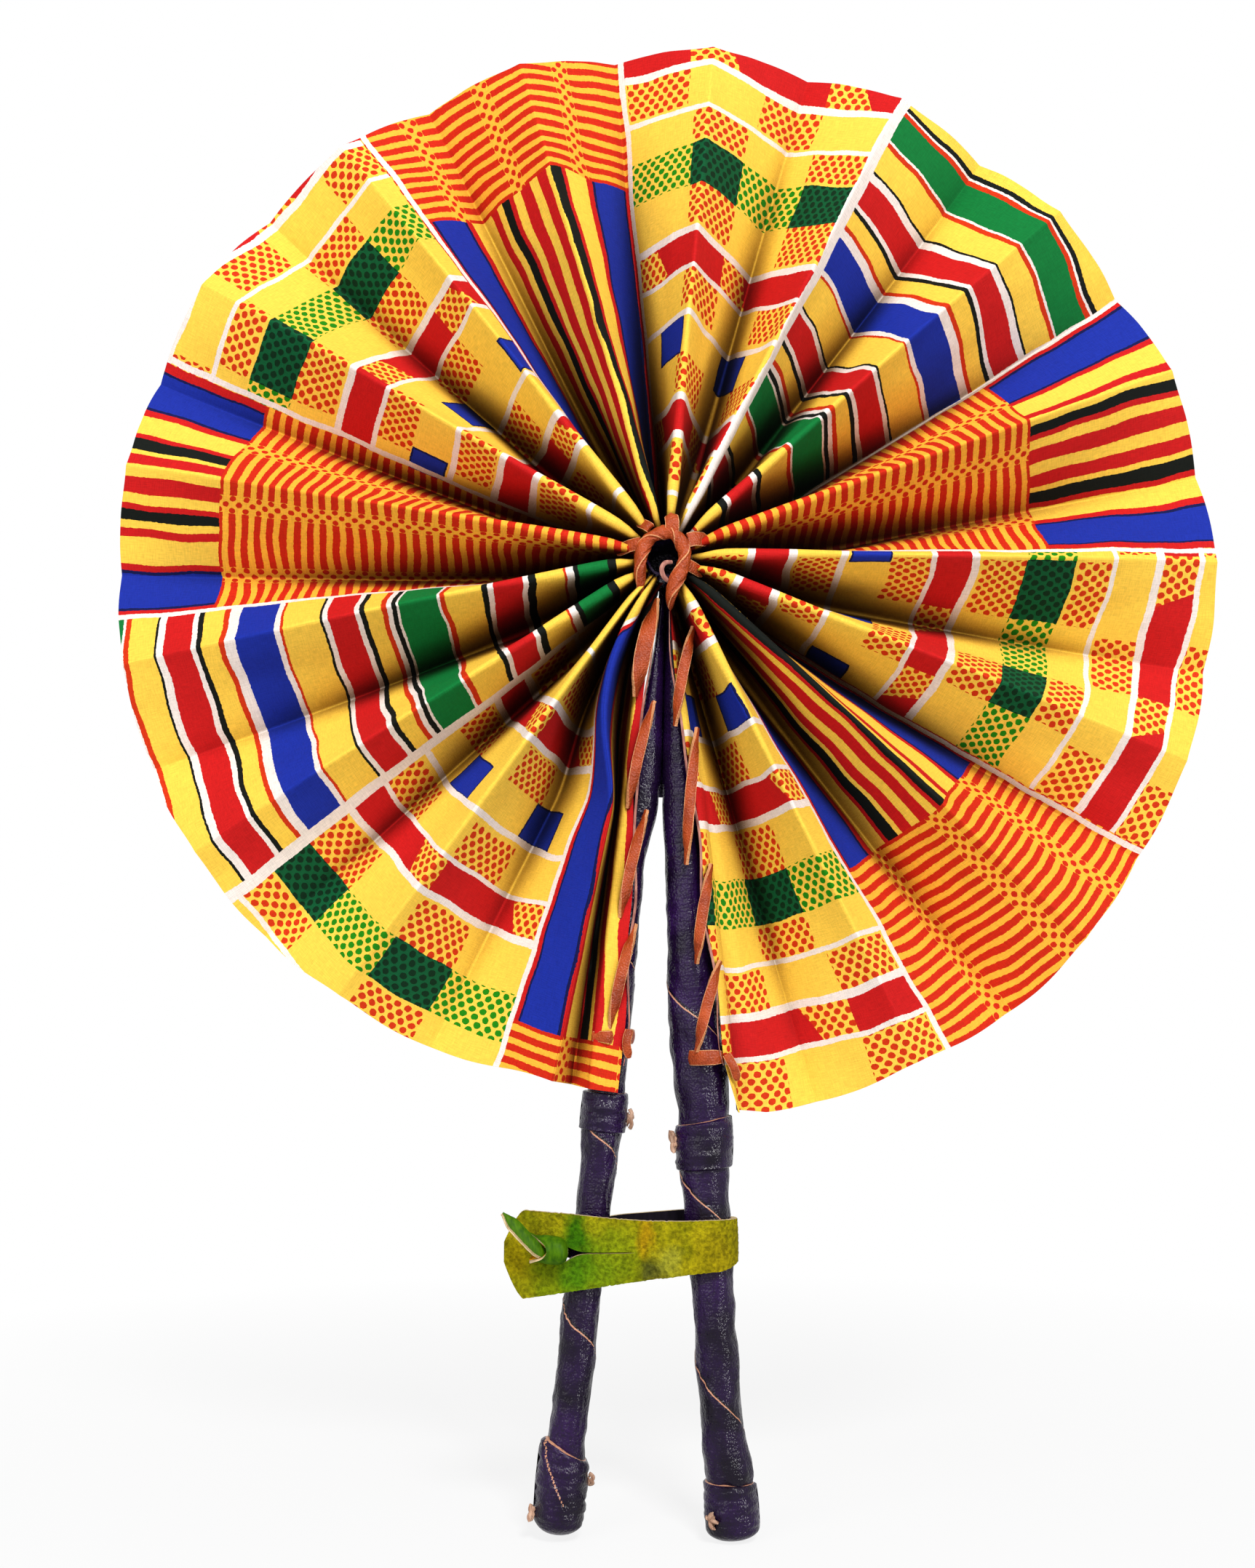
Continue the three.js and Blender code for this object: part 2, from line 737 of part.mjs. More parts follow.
// Front arm: a flat outline that flares to the left and ends in a blunt point, with a slit
function addStrapFront() {
  const start = rightAtStrap.x - clearance;
  const outline = new THREE.Shape();
  outline.moveTo(start, strapTop);
  outline.lineTo(start, strapBottom);
  outline.quadraticCurveTo(lerp(start, strapShoulderX, 0.3), strapBottom - 2, strapShoulderX, strapBottom - strapDrop);
  outline.lineTo(strapPointX, strapPointZ);
  outline.lineTo(strapShoulderX, strapTop + strapFlare);
  outline.lineTo(lerp(start, strapShoulderX, 0.5), strapTop + strapFlare / 2);
  outline.closePath();
  const plate = new THREE.ExtrudeGeometry(outline, {
    depth: strapThickness,
    bevelEnabled: false,
    curveSegments: 8,
  });
  const slit = new THREE.Shape();
  slit.moveTo(slitStartX, slitZ - slitNarrow / 2);
  slit.quadraticCurveTo(stalkX - slitWide, slitZ - slitNarrow / 2, stalkX - slitNarrow, slitZ - slitWide / 2);
  slit.lineTo(stalkX + slitNarrow, slitZ - slitWide / 2);
  slit.quadraticCurveTo(stalkX + slitWide, slitZ - slitNarrow / 2, slitEndX, slitZ - slitNarrow / 2);
  slit.lineTo(slitEndX, slitZ + slitNarrow / 2);
  slit.quadraticCurveTo(stalkX + slitWide, slitZ + slitNarrow / 2, stalkX + slitNarrow, slitZ + slitWide / 2);
  slit.lineTo(stalkX - slitNarrow, slitZ + slitWide / 2);
  slit.quadraticCurveTo(stalkX - slitWide, slitZ + slitNarrow / 2, slitStartX, slitZ + slitNarrow / 2);
  slit.closePath();
  const hole = new THREE.ExtrudeGeometry(slit, {
    depth: 3 * strapThickness,
    bevelEnabled: false,
    curveSegments: 5,
  });
  hole.translate(0, 0, -strapThickness);
  const arm = fromSolid(toSolid(plate).subtract(toSolid(hole)));
  arm.rotateX(Math.PI / 2);
  arm.translate(0, -strapLayer + strapThickness / 2, 0);
  addPiece('strap_front_arm', arm, suede);
}

// Back arm: runs behind both sticks, turns forward past the left stick and through the slit
function addStrapBack() {
  const start = rightAtStrap.x - clearance;
  const stalkTop = slitZ + stalkHeight / 2;
  const stalkBottom = slitZ - stalkHeight / 2;
  const top = strapMiddle + backArmHeight / 2;
  const bottom = strapMiddle - backArmHeight / 2;
  const bendStart = leftAtStrap.x;
  const bend = bendStart - stalkX;
  const front = -strapLayer - strapThickness / 2 - clearance;
  const stops = [
    { x: start, y: strapLayer, top, bottom },
    { x: lerp(start, bendStart, 0.5), y: strapLayer, top, bottom },
    { x: lerp(start, bendStart, 0.8), y: strapLayer, top: lerp(top, stalkTop, 0.3), bottom: lerp(bottom, stalkBottom, 0.3) },
  ];
  for (const turn of [0, 22, 45, 68, 90]) {
    const angle = radians(turn);
    const share = 0.6 + (0.4 * turn) / 90;
    stops.push({
      x: bendStart - bend * Math.sin(angle),
      y: strapLayer - bend + bend * Math.cos(angle),
      top: lerp(top, stalkTop, share),
      bottom: lerp(bottom, stalkBottom, share),
    });
  }
  stops.push({ x: stalkX, y: front, top: stalkTop, bottom: stalkBottom });
  addPiece('strap_back_arm', strap(stops), suede);
}

// Toggle: the arm's end rolled up, with a pointed tail standing out of the roll
function addToggle() {
  const radius = toggleDiameter / 2;
  const rollY = -strapLayer - strapThickness / 2 - 2 * clearance - radius;
  const shrink = (radius - 0.6) / (2 * Math.PI * toggleTurns);
  const wall = 2 * Math.PI * shrink - clearance * 1.6;
  const outer = [];
  const inner = [];
  const steps = Math.round(toggleTurns * 14);
  for (let i = 0; i <= steps; i++) {
    const turn = (2 * Math.PI * toggleTurns * i) / steps;
    const far = radius - shrink * turn;
    const near = Math.max(0.15, far - wall);
    outer.push(new THREE.Vector2(far * Math.cos(turn), far * Math.sin(turn)));
    inner.push(new THREE.Vector2(near * Math.cos(turn), near * Math.sin(turn)));
  }
  const roll = new THREE.ExtrudeGeometry(new THREE.Shape([...outer, ...inner.reverse()]), {
    depth: toggleLength,
    bevelEnabled: false,
  });
  roll.rotateY(Math.PI / 2);
  roll.translate(toggleX - toggleLength / 2, rollY, slitZ - 0.4);
  const tail = new THREE.Shape();
  const half = leafTailWidth / 2;
  tail.moveTo(-half * 0.8, -1);
  tail.lineTo(half * 0.8, -1);
  tail.quadraticCurveTo(half * 1.3, leafTailLength * 0.45, 0, leafTailLength);
  tail.quadraticCurveTo(-half * 1.3, leafTailLength * 0.45, -half * 0.8, -1);
  const blade = new THREE.ExtrudeGeometry(tail, { depth: 1.2, bevelEnabled: false, curveSegments: 6 });
  blade.rotateX(Math.PI / 2);
  blade.rotateX(radians(8));
  blade.rotateY(-radians(leafTailTurn));
  blade.translate(toggleX - toggleLength / 2 + 1.4, rollY - radius + 1.6, slitZ + 1.2);
  addPiece('strap_toggle', fromSolid(toSolid(roll).add(toSolid(blade))), toggleSuede);
}

addStick(rightStick);
addStick(leftStick);
const capKnotMargin = clearance + capThickness + cuffPuff;
const cuffKnotMargin = clearance + cuffThickness + cuffPuff;
addKnot('right_cuff_knot', rightStick, rightStick.cuffDistance + rightStick.cuffLength / 2, cuffKnotMargin, radians(200));
addKnot('left_cuff_knot', leftStick, leftStick.cuffDistance + leftStick.cuffLength / 2, cuffKnotMargin, radians(190));
addKnot('right_cap_knot', rightStick, stickLength - rightStick.capLength / 2, capKnotMargin, radians(225));
addKnot('left_cap_knot', leftStick, stickLength - leftStick.capLength / 2, capKnotMargin, radians(180));
for (let number = 1; number <= foldCount; number++) addFold(number);
addLeafEdges();
addHubRing();
addLaceRun(leftStick);
addLaceRun(rightStick);
addLaceTie(leftStick);
addLaceTie(rightStick);
addStrapLoop();
addStrapFront();
addStrapBack();
addToggle();

export default fan;
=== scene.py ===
# %% [markdown]
# # A kente hand fan in Blender
# The fan is a strip of waxed cotton, folded into 33 pleats and laced between two sticks that are
# wrapped in purple leather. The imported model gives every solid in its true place, so this lesson
# only dresses it: cloth, leather, lacing and suede are made where the solids stand.

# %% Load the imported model
import functools
import math
import random

import bmesh
import bpy
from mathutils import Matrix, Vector, noise


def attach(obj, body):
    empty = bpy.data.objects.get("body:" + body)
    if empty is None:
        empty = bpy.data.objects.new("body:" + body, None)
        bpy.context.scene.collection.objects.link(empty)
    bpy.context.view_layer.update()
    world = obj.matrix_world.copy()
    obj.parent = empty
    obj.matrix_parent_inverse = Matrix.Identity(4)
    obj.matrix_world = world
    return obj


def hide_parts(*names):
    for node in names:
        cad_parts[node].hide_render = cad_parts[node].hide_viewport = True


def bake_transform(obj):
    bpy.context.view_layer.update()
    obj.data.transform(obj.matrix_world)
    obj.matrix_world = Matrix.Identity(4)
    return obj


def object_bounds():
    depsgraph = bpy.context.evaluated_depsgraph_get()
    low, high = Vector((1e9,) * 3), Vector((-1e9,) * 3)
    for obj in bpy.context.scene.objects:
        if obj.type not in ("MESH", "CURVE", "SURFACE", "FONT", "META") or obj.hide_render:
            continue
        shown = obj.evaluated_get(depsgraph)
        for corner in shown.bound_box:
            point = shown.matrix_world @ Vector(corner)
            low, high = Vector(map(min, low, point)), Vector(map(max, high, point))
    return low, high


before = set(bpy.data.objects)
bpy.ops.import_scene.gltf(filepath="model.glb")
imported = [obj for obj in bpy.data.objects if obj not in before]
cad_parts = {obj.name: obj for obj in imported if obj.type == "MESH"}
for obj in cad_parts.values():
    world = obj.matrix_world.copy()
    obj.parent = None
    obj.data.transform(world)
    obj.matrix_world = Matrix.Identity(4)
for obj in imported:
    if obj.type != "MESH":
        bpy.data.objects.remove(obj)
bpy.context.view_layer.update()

# %% [markdown]
# All sizes below are in millimetres, as a fan maker would measure them. Blender works in metres,
# so every finished mesh is scaled once, when its object is made.

# %% Sizes and the fan's polar grid
MM = 0.001
grip_distance = 215
right_angle, left_angle = 536.3, 186.5
leaf_radius, leaf_inner = 168, 10.2
rim_pleat_depth = 13.7
fold_count = 32
left_panel_angle, right_panel_angle = 8.65, 11.6
hub = Vector((-grip_distance * math.sin(math.radians(right_angle)), 0,
              -grip_distance * math.cos(math.radians(right_angle))))
pleat_angle = (right_angle - left_angle - left_panel_angle - right_panel_angle) / (fold_count - 1)
to_viewer = Vector((0, -1, 0))


def polar(radius, angle, y=0.0):
    """A point at a distance from the hub, on a ray turned clockwise from straight up."""
    turn = math.radians(angle)
    return Vector((hub.x + radius * math.sin(turn), y, hub.z + radius * math.cos(turn)))


print("hub at", [round(v, 2) for v in hub], "mm, pleats", round(pleat_angle, 2), "degrees apart")

# %% [markdown]
# Objects are put in the scene in one place. Meshes are built as bmeshes, which are used up there.

# %% Helpers for objects


def add_object(name, data):
    made = bpy.data.objects.new(name, data)
    bpy.context.scene.collection.objects.link(made)
    return made


def mesh_object(name, mesh, materials):
    data = bpy.data.meshes.new(name)
    mesh.to_mesh(data)
    mesh.free()
    for material in materials:
        data.materials.append(material)
    return add_object(name, data)


# %% [markdown]
# The photograph was taken from close by and from a little below the fan's middle. A camera 52 cm
# from the cloth, tipped up by 7.4 degrees, gives the same perspective.

# %% Camera
camera = add_object("camera", bpy.data.cameras.new("camera"))
camera.location = (-0.02577, -0.51567, 0.07998)
camera.rotation_euler = (math.radians(97.4), 0, 0)
camera.data.sensor_fit = "VERTICAL"
camera.data.sensor_height = 36
camera.data.lens = 39.45
camera.data.clip_start = 0.01
bpy.context.scene.camera = camera
bpy.context.scene.view_settings.view_transform = "Standard"
print("camera lens", camera.data.lens, "mm")

# %% [markdown]
# Materials are written as small sums. Each helper adds one node and gives back its output, so that
# two helpers inside one another are two linked nodes. The node tree is found from the outputs that
# go in. Colours are noted as a painter would pick them from a screen and turned into linear values.

# %% Helpers for materials


def paint(code):
    parts = [int(code[i:i + 2], 16) / 255 for i in (1, 3, 5)]
    return (*[p / 12.92 if p <= 0.04045 else ((p + 0.055) / 1.055) ** 2.4 for p in parts], 1)


def connect(tree, socket, value):
    if isinstance(value, bpy.types.NodeSocket):
        tree.links.new(value, socket)
    else:
        socket.default_value = value


def add_node(tree, kind, inputs=None, **settings):
    made = tree.nodes.new("ShaderNode" + kind)
    for key, value in settings.items():
        setattr(made, key, value)
    for key, value in (inputs or {}).items():
        connect(tree, made.inputs[key], value)
    return made


def tree_of(*values):
    return next(value.id_data for value in values if isinstance(value, bpy.types.NodeSocket))


def calc(operation, *values):
    made = add_node(tree_of(*values), "Math", dict(enumerate(values)), operation=operation)
    return made.outputs[0]


plus, minus, times, divide = (
    functools.partial(calc, operation) for operation in ("ADD", "SUBTRACT", "MULTIPLY", "DIVIDE"))
absolute, fraction, over, under = (
    functools.partial(calc, operation) for operation in ("ABSOLUTE", "FRACT", "GREATER_THAN", "LESS_THAN"))


def both_of(*masks):
    """One where every mask is one."""
    return functools.reduce(times, masks)


def span(value, low, high, to_low=0.0, to_high=1.0):
    """The value moved from one range into another, and kept inside it."""
    inputs = {"Value": value, "From Min": low, "From Max": high, "To Min": to_low, "To Max": to_high}
    return add_node(tree_of(value), "MapRange", inputs).outputs[0]


def mix(factor, first, second, way="MIX"):
    made = add_node(tree_of(factor, first, second), "Mix", {0: factor, 6: first, 7: second},
                    data_type="RGBA", blend_type=way)
    return made.outputs[2]


def darkened(colour, red, green, blue):
    shade = add_node(colour.id_data, "CombineColor", {0: red, 1: green, 2: blue})
    return mix(1.0, colour, shade.outputs[0], "MULTIPLY")


def bands(length, full, stops):
    """Flat colours along a length: each stop is (where it starts, its colour)."""
    ramp = add_node(length.id_data, "ValToRGB", {"Fac": divide(length, full)})
    ramp.color_ramp.interpolation = "CONSTANT"
    elements = ramp.color_ramp.elements
    while len(elements) > 1:
        elements.remove(elements[-1])
    for index, (start, colour) in enumerate(stops):
        element = elements[0] if index == 0 else elements.new(start / full)
        element.position = start / full
        element.color = paint(colour) if isinstance(colour, str) else colour
    return ramp.outputs["Color"]


def dressed(shader, colour, height, strength, distance):
    """Gives the shader its colour and the bumps of its surface."""
    tree = height.id_data
    bump = add_node(tree, "Bump", {"Height": height, "Strength": strength, "Distance": distance})
    connect(tree, shader.inputs["Base Color"], colour)
    connect(tree, shader.inputs["Normal"], bump.outputs[0])


def new_finish(name):
    material = bpy.data.materials.new(name)
    material.use_nodes = True
    return material, material.node_tree, material.node_tree.nodes["Principled BSDF"]


print("a white painted", [round(c, 2) for c in paint("#F4E8E0")[:3]], "in linear values")

# %% [markdown]
# The fan stands on a white sweep. The floor is white to the camera but still takes the fan's
# shadow, because only part of it is plain light and the rest is lit by the lamps. A key lamp stands
# above and a wide fill to the left. The narrow strip on the right shows in reflections only, as the
# broken glint that runs down each stick.

# %% Floor, lamps and world
floor_mesh = bmesh.new()
bmesh.ops.create_grid(floor_mesh, x_segments=1, y_segments=1, size=4)
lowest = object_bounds()[0][2]
floor = mesh_object("floor", floor_mesh, [])
floor.location.z = lowest - 0.0001


def seen_directly(tree):
    path = add_node(tree, "LightPath").outputs
    seen = calc("MAXIMUM", path["Is Camera Ray"], path["Is Glossy Ray"])
    return calc("MAXIMUM", seen, path["Is Transmission Ray"])


floor_finish, tree, shader = new_finish("white floor")
shader.inputs["Base Color"].default_value = (0.8, 0.8, 0.8, 1)
shader.inputs["Roughness"].default_value = 0.9
white = add_node(tree, "Emission", {"Color": (1, 1, 1, 1), "Strength": 1.0})
away = add_node(tree, "VectorMath", {0: add_node(tree, "TexCoord").outputs["Object"]}, operation="LENGTH")
whiteness = span(away.outputs["Value"], 0.12, 0.5, 0.84)
pale = add_node(tree, "MixShader", {0: whiteness, 1: shader.outputs[0], 2: white.outputs[0]})
shown = add_node(tree, "MixShader", {0: seen_directly(tree), 1: shader.outputs[0], 2: pale.outputs[0]})
tree.links.new(shown.outputs[0], tree.nodes["Material Output"].inputs[0])
floor.data.materials.append(floor_finish)

world = bpy.data.worlds.new("studio")
bpy.context.scene.world = world
world.use_nodes = True
tree = world.node_tree
sky = tree.nodes["Background"]
sky.inputs["Color"].default_value = (1, 1, 1, 1)
sky.inputs["Strength"].default_value = 0.22
backdrop = add_node(tree, "Background", {"Color": (1, 1, 1, 1), "Strength": 1.0})
both = add_node(tree, "MixShader", {0: seen_directly(tree), 1: sky.outputs[0], 2: backdrop.outputs[0]})
tree.links.new(both.outputs[0], tree.nodes["World Output"].inputs[0])


def lamp(name, place, width, height, watts):
    light = bpy.data.lights.new(name, "AREA")
    light.shape = "RECTANGLE"
    light.size, light.size_y = width, height
    light.energy = watts
    made = add_object(name, light)
    made.location = place
    middle_of_fan = Vector((-0.02, 0, 0.17))
    made.rotation_euler = (middle_of_fan - made.location).to_track_quat("-Z", "Y").to_euler()
    return made


lamp("key", (0.3, -1.2, 1.15), 0.4, 0.4, 26)
lamp("strip", (1.0, -1.0, 0.15), 0.06, 1.5, 26).visible_diffuse = False
lamp("fill", (-0.9, -1.3, 0.6), 1.0, 1.0, 11)
print("floor at", round(floor.location.z, 4), "m, three soft lamps")

# %% [markdown]
# ## The pleats
# The cloth is one long strip, about 34 mm wide between two creases and 158 mm from hub to rim.
# Every pleat keeps its width, so near the hub, where the creases crowd together, the pleats stand
# up deep, and at the rim they lie flatter. The height of a crease follows from Pythagoras: half
# the pleat's width squared less the chord squared.

# %% Creases
pleat_chord = lambda radius: 2 * radius * math.sin(math.radians(pleat_angle / 2))
pleat_width = math.hypot(pleat_chord(leaf_radius), rim_pleat_depth)
cloth_thickness, cloth_start = 0.36, 7.2


def bell(angle, middle, spread):
    return math.exp(-((angle - middle) / spread) ** 2)


def smooth(share):
    share = min(1, max(0, share))
    return share * share * (3 - 2 * share)


last_ridge_turn, last_ridge_slip = 2.8, 5.7


def crease_angle(number):
    """Numbered from the right stick; odd ones are valleys, even ones ridges, and the last hangs over."""
    regular = right_angle - right_panel_angle - (number - 1) * pleat_angle
    return regular - last_ridge_turn * (number == fold_count)


def last_ridge_print(radius):
    """Where the print lies on the last ridge, which is askew: more cloth is beyond it near the hub."""
    return 13 * (1 - smooth((radius - 36) / 50)) - last_ridge_slip


def cloth_between(number, radius=100):
    """The cloth's width between a crease and the next one."""
    return pleat_width - last_ridge_print(radius) * (number == fold_count - 1)


def rim_radius(angle):
    """The maker cut the rim round after folding, so ridges are a little shorter than valleys."""
    cut_short = 9 * max(0, 1 - (angle - left_angle) / 58)
    by_hand = (1.6 * bell(angle, 300, 24) - 1.2 * bell(angle, 403, 18)
               + 1.8 * bell(angle, 499, 10) - 1.8 * bell(angle, 533, 6))
    turns = (angle - crease_angle(2)) / pleat_angle
    rounded = -0.9 * math.cos(math.pi * turns) + 0.5 * math.sin(math.pi * turns) ** 2
    return leaf_radius - cut_short + by_hand + rounded


def hub_pinch(radius):
    """The thong at the hub squeezes the pleats' depth together."""
    return 1 - 0.32 * smooth((17 - radius) / 10)


def pleat_rise(radius):
    return math.sqrt(max(0, pleat_width ** 2 - pleat_chord(radius) ** 2)) / 2


def crease_foot(number, radius):
    """The crease's place in the fan's plane, before it stands up to the front or back."""
    wander = 0.18 * math.sin(radius / 23 + 2.1 * number) * min(1, radius / 60)
    # near the hub the last ridge lies further from its stick, and the valley before it gives way
    away = 13.7 * (1 - smooth((radius - 34) / 46)) + 4 * (1 - smooth((radius - 20) / 26))
    share = max(0, number - fold_count + 2) / 2
    return polar(radius, crease_angle(number) + away * share + math.degrees(wander / radius))


print("pleat width", round(pleat_width, 2), "mm, rise at the rim", round(pleat_rise(leaf_radius), 2), "mm")

# %% [markdown]
# A pleat is made from a flat grid. Extruding all of its faces gives it a second side, so that it
# is a thin closed slab, and then each vertex is moved from its place on the flat grid to its place
# on the fan. The print's coordinates are written at the same moment: millimetres along the strip
# and millimetres from the hub.

# %% A pleat from a grid
seam_places = [11.7, 117.3, 221, 313.3, 415.3, 511.3, 613, 713.7, 811, 914.3, 1007.7]
column_starts = [0, 103.7, 206, 300.7, 403.3]
print_repeat, print_lean = 497, 0.0401
seam_targets = [column_starts[i % 5] + print_repeat * (i // 5) for i in range(11)]
boxes_at, stripes_at, weave_at, next_boxes_at, next_weave_at = column_starts
weave_width, box_width = 94.2, 103.2


def along_print(u):
    """Where a place on the strip falls on the printed repeat, which was laid a little unevenly."""
    if u <= seam_places[0]:
        return u - seam_places[0] + seam_targets[0]
    for i in range(1, 11):
        if u <= seam_places[i]:
            share = (u - seam_places[i - 1]) / (seam_places[i] - seam_places[i - 1])
            return seam_targets[i - 1] + share * (seam_targets[i] - seam_targets[i - 1])
    return u - seam_places[-1] + seam_targets[-1]


def print_place(u, radius):
    """Near the hub the first pleats were pulled askew, so the print slips along them there."""
    slip = 17 * (1 - smooth((radius - 14) / 22)) * (1 - smooth(u / 45))
    leaning = radius + print_lean * (u - 500) + 3 * (1 - smooth((u + 30) / 110))
    return along_print(u + slip) + print_repeat, leaning


def finish_object(mesh, name, material, sharp=50):
    """Faces outwards and smooth, except at edges that are sharper than so many degrees."""
    bmesh.ops.recalc_face_normals(mesh, faces=mesh.faces[:])
    for face in mesh.faces:
        face.smooth = True
    for edge in mesh.edges:
        edge.smooth = edge.calc_face_angle(0) < math.radians(sharp)
    return mesh_object(name, mesh, [material])


def grid_slab(across, along, layer_name):
    """A flat grid with a second side: the bmesh, its UV layer and the vertices of the front side."""
    mesh = bmesh.new()
    bmesh.ops.create_grid(mesh, x_segments=across, y_segments=along, size=0.5)
    second = bmesh.ops.extrude_face_region(mesh, geom=mesh.faces[:], use_keep_orig=True)["geom"]
    front = {part for part in second if isinstance(part, bmesh.types.BMVert)}
    return mesh, mesh.loops.layers.uv.new(layer_name), front


def cloth_slab(name, place, print_at, across=20, along=46):
    """A slab of the printed cloth: place(s, t, side) in mm, and print_at(s, t) on the print."""
    mesh, layer, front = grid_slab(across, along, "print")
    spread = {v: (0.5 - 0.5 * math.cos(math.pi * (v.co.x + 0.5)), v.co.y + 0.5) for v in mesh.verts}
    for face in mesh.faces:
        for loop in face.loops:
            loop[layer].uv = print_at(*spread[loop.vert])
    for vertex, (s, t) in spread.items():
        vertex.co = place(s, t, 1 if vertex in front else -1) * MM
    return finish_object(mesh, name, kente)


def cloth_wave(u, radius):
    """Slow, shallow unevenness of cotton that has been folded by hand, in mm."""
    spot = Vector((u / 17, radius / 34, 3.7))
    return 0.9 * noise.noise(spot) + 0.4 * noise.noise(spot * 2.3)


print("the print repeats every", print_repeat, "mm")

# %% [markdown]
# A folded edge is not sharp: the cotton turns round it in a small arc, wide and soft near the hub
# and tight at the rim. The section from a ridge to a valley is an arc, a straight run and an arc
# back, and its height is found by trial so that the three add up to the pleat's width.

# %% Section of a pleat


@functools.lru_cache(None)
def pleat_section(radius):
    chord = pleat_chord(radius)
    soft = min(0.5 + 1.2 * (1 - smooth((radius - 12) / 75)), 0.44 * chord)
    depth = 2 * pleat_rise(radius)
    for _ in range(24):
        height = depth - 2 * soft
        length = math.hypot(chord, height)
        lean = math.atan2(chord, height) - math.asin(min(1, 2 * soft / length))
        arc = soft * (math.pi / 2 - lean)
        run = math.sqrt(max(0, length ** 2 - 4 * soft ** 2))
        depth -= 2 * arc + run - pleat_width
    return chord, soft, depth, lean, arc, run


def on_section(radius, share):
    """From ridge (0) to valley (1): share of the chord, depth, and the front normal's two parts."""
    chord, soft, depth, lean, arc, run = pleat_section(round(radius, 1))
    mirrored = share > 0.5
    length = min(share, 1 - share) * (2 * arc + run)
    turn = min(length / soft, math.pi / 2 - lean)
    x = soft * math.sin(turn)
    y = -depth / 2 + soft * (1 - math.cos(turn))
    if length > arc:
        x += math.sin(lean) * (length - arc)
        y += math.cos(lean) * (length - arc)
    if mirrored:
        x, y = chord - x, -y
    return x / chord, y, math.sin(turn), -math.cos(turn)


def pleat_point(right, s, t, side, u):
    """A point on the pleat between crease number right and the next one to its left."""
    angle = (1 - s) * crease_angle(right) + s * crease_angle(right + 1)
    rim = rim_radius(angle) * math.cos(math.radians((s - 0.5) * pleat_angle))
    rim /= math.cos(math.radians(pleat_angle / 2))
    radius = cloth_start + t * (rim - cloth_start)
    from_ridge = s if right % 2 == 0 else 1 - s
    share, y, across, facing = on_section(radius, from_ridge)
    if right % 2:
        share, across = 1 - share, -across
    a, b = crease_foot(right, radius), crease_foot(right + 1, radius)
    normal = (b - a).normalized() * across + Vector((0, facing, 0))
    point = a.lerp(b, share) + Vector((0, y * hub_pinch(radius), 0))
    wave = cloth_wave(u, radius) * math.sin(math.pi * s) * min(1, radius / 50)
    return point + normal * (wave + side * cloth_thickness / 2)


print("a pleat at the rim stands", round(pleat_section(168)[2], 1), "mm deep, at 20 mm from the hub",
      round(pleat_section(20)[2], 1))

# %% [markdown]
# ## The kente print
# The print repeats after five columns: two with little boxes of dots, one with stripes, and two
# that are half stripes and half woven lines. Each is drawn with arithmetic on the print's own
# coordinates, so the pattern follows the folds as the real cloth's does.

# %% Colours of the print
yellow, red, dot_red = "#FFD04C", "#C81A1A", "#D23410"
blue, black, white_dye = "#1A2E9C", "#101410", "#F4E8E0"
green, dot_green, box_green, box_dots = "#0C7434", "#1E8410", "#0A5630", "#062A16"
weave_red, weave_ground, edge_blue = "#CE2810", "#FFB83A", "#10164A"

kente, tree, cloth_shader = new_finish("kente cotton")
uv = add_node(tree, "UVMap", uv_map="print").outputs[0]
bleed = add_node(tree, "TexNoise", {"Vector": uv, "Scale": 0.9, "Detail": 3.0}, noise_dimensions="2D")
drift = add_node(tree, "TexNoise", {"Vector": uv, "Scale": 0.045, "Detail": 1.0}, noise_dimensions="2D")


def wobbled(axis):
    base = add_node(tree, "SeparateXYZ", {0: uv}).outputs[axis]
    small = add_node(tree, "SeparateXYZ", {0: bleed.outputs["Color"]}).outputs[axis]
    large = add_node(tree, "SeparateXYZ", {0: drift.outputs["Color"]}).outputs[axis]
    first = calc("MULTIPLY_ADD", minus(small, 0.5), 0.5, base)
    return calc("MULTIPLY_ADD", minus(large, 0.5), 3.0, first)


# p runs along the printed repeat and v away from the hub, both in mm
p = calc("FLOORED_MODULO", wobbled(0), print_repeat)
v = wobbled(1)


def channel(colour, name):
    return add_node(tree, "SeparateColor", {0: colour}).outputs[name]


def dots(x, y, x_pitch, y_pitch, width, height):
    """Staggered dots: every second row is moved by half a pitch."""
    row = calc("FLOOR", divide(y, y_pitch))
    shift = times(calc("FLOORED_MODULO", row, 2), 0.5)
    dx = minus(fraction(calc("MULTIPLY_ADD", x, 1 / x_pitch, shift)), 0.5)
    dy = minus(fraction(divide(y, y_pitch)), 0.5)
    ex = calc("POWER", absolute(times(dx, 2 * x_pitch / width)), 2)
    ey = calc("POWER", absolute(times(dy, 2 * y_pitch / height)), 2)
    return under(plus(ex, ey), 1)


print("print colours:", yellow, red, blue, green)

# %% [markdown]
# The striped column has bands across the strip, so its colour depends only on the distance from
# the hub. A colour ramp holds 32 stops at most, so two ramps share the work.

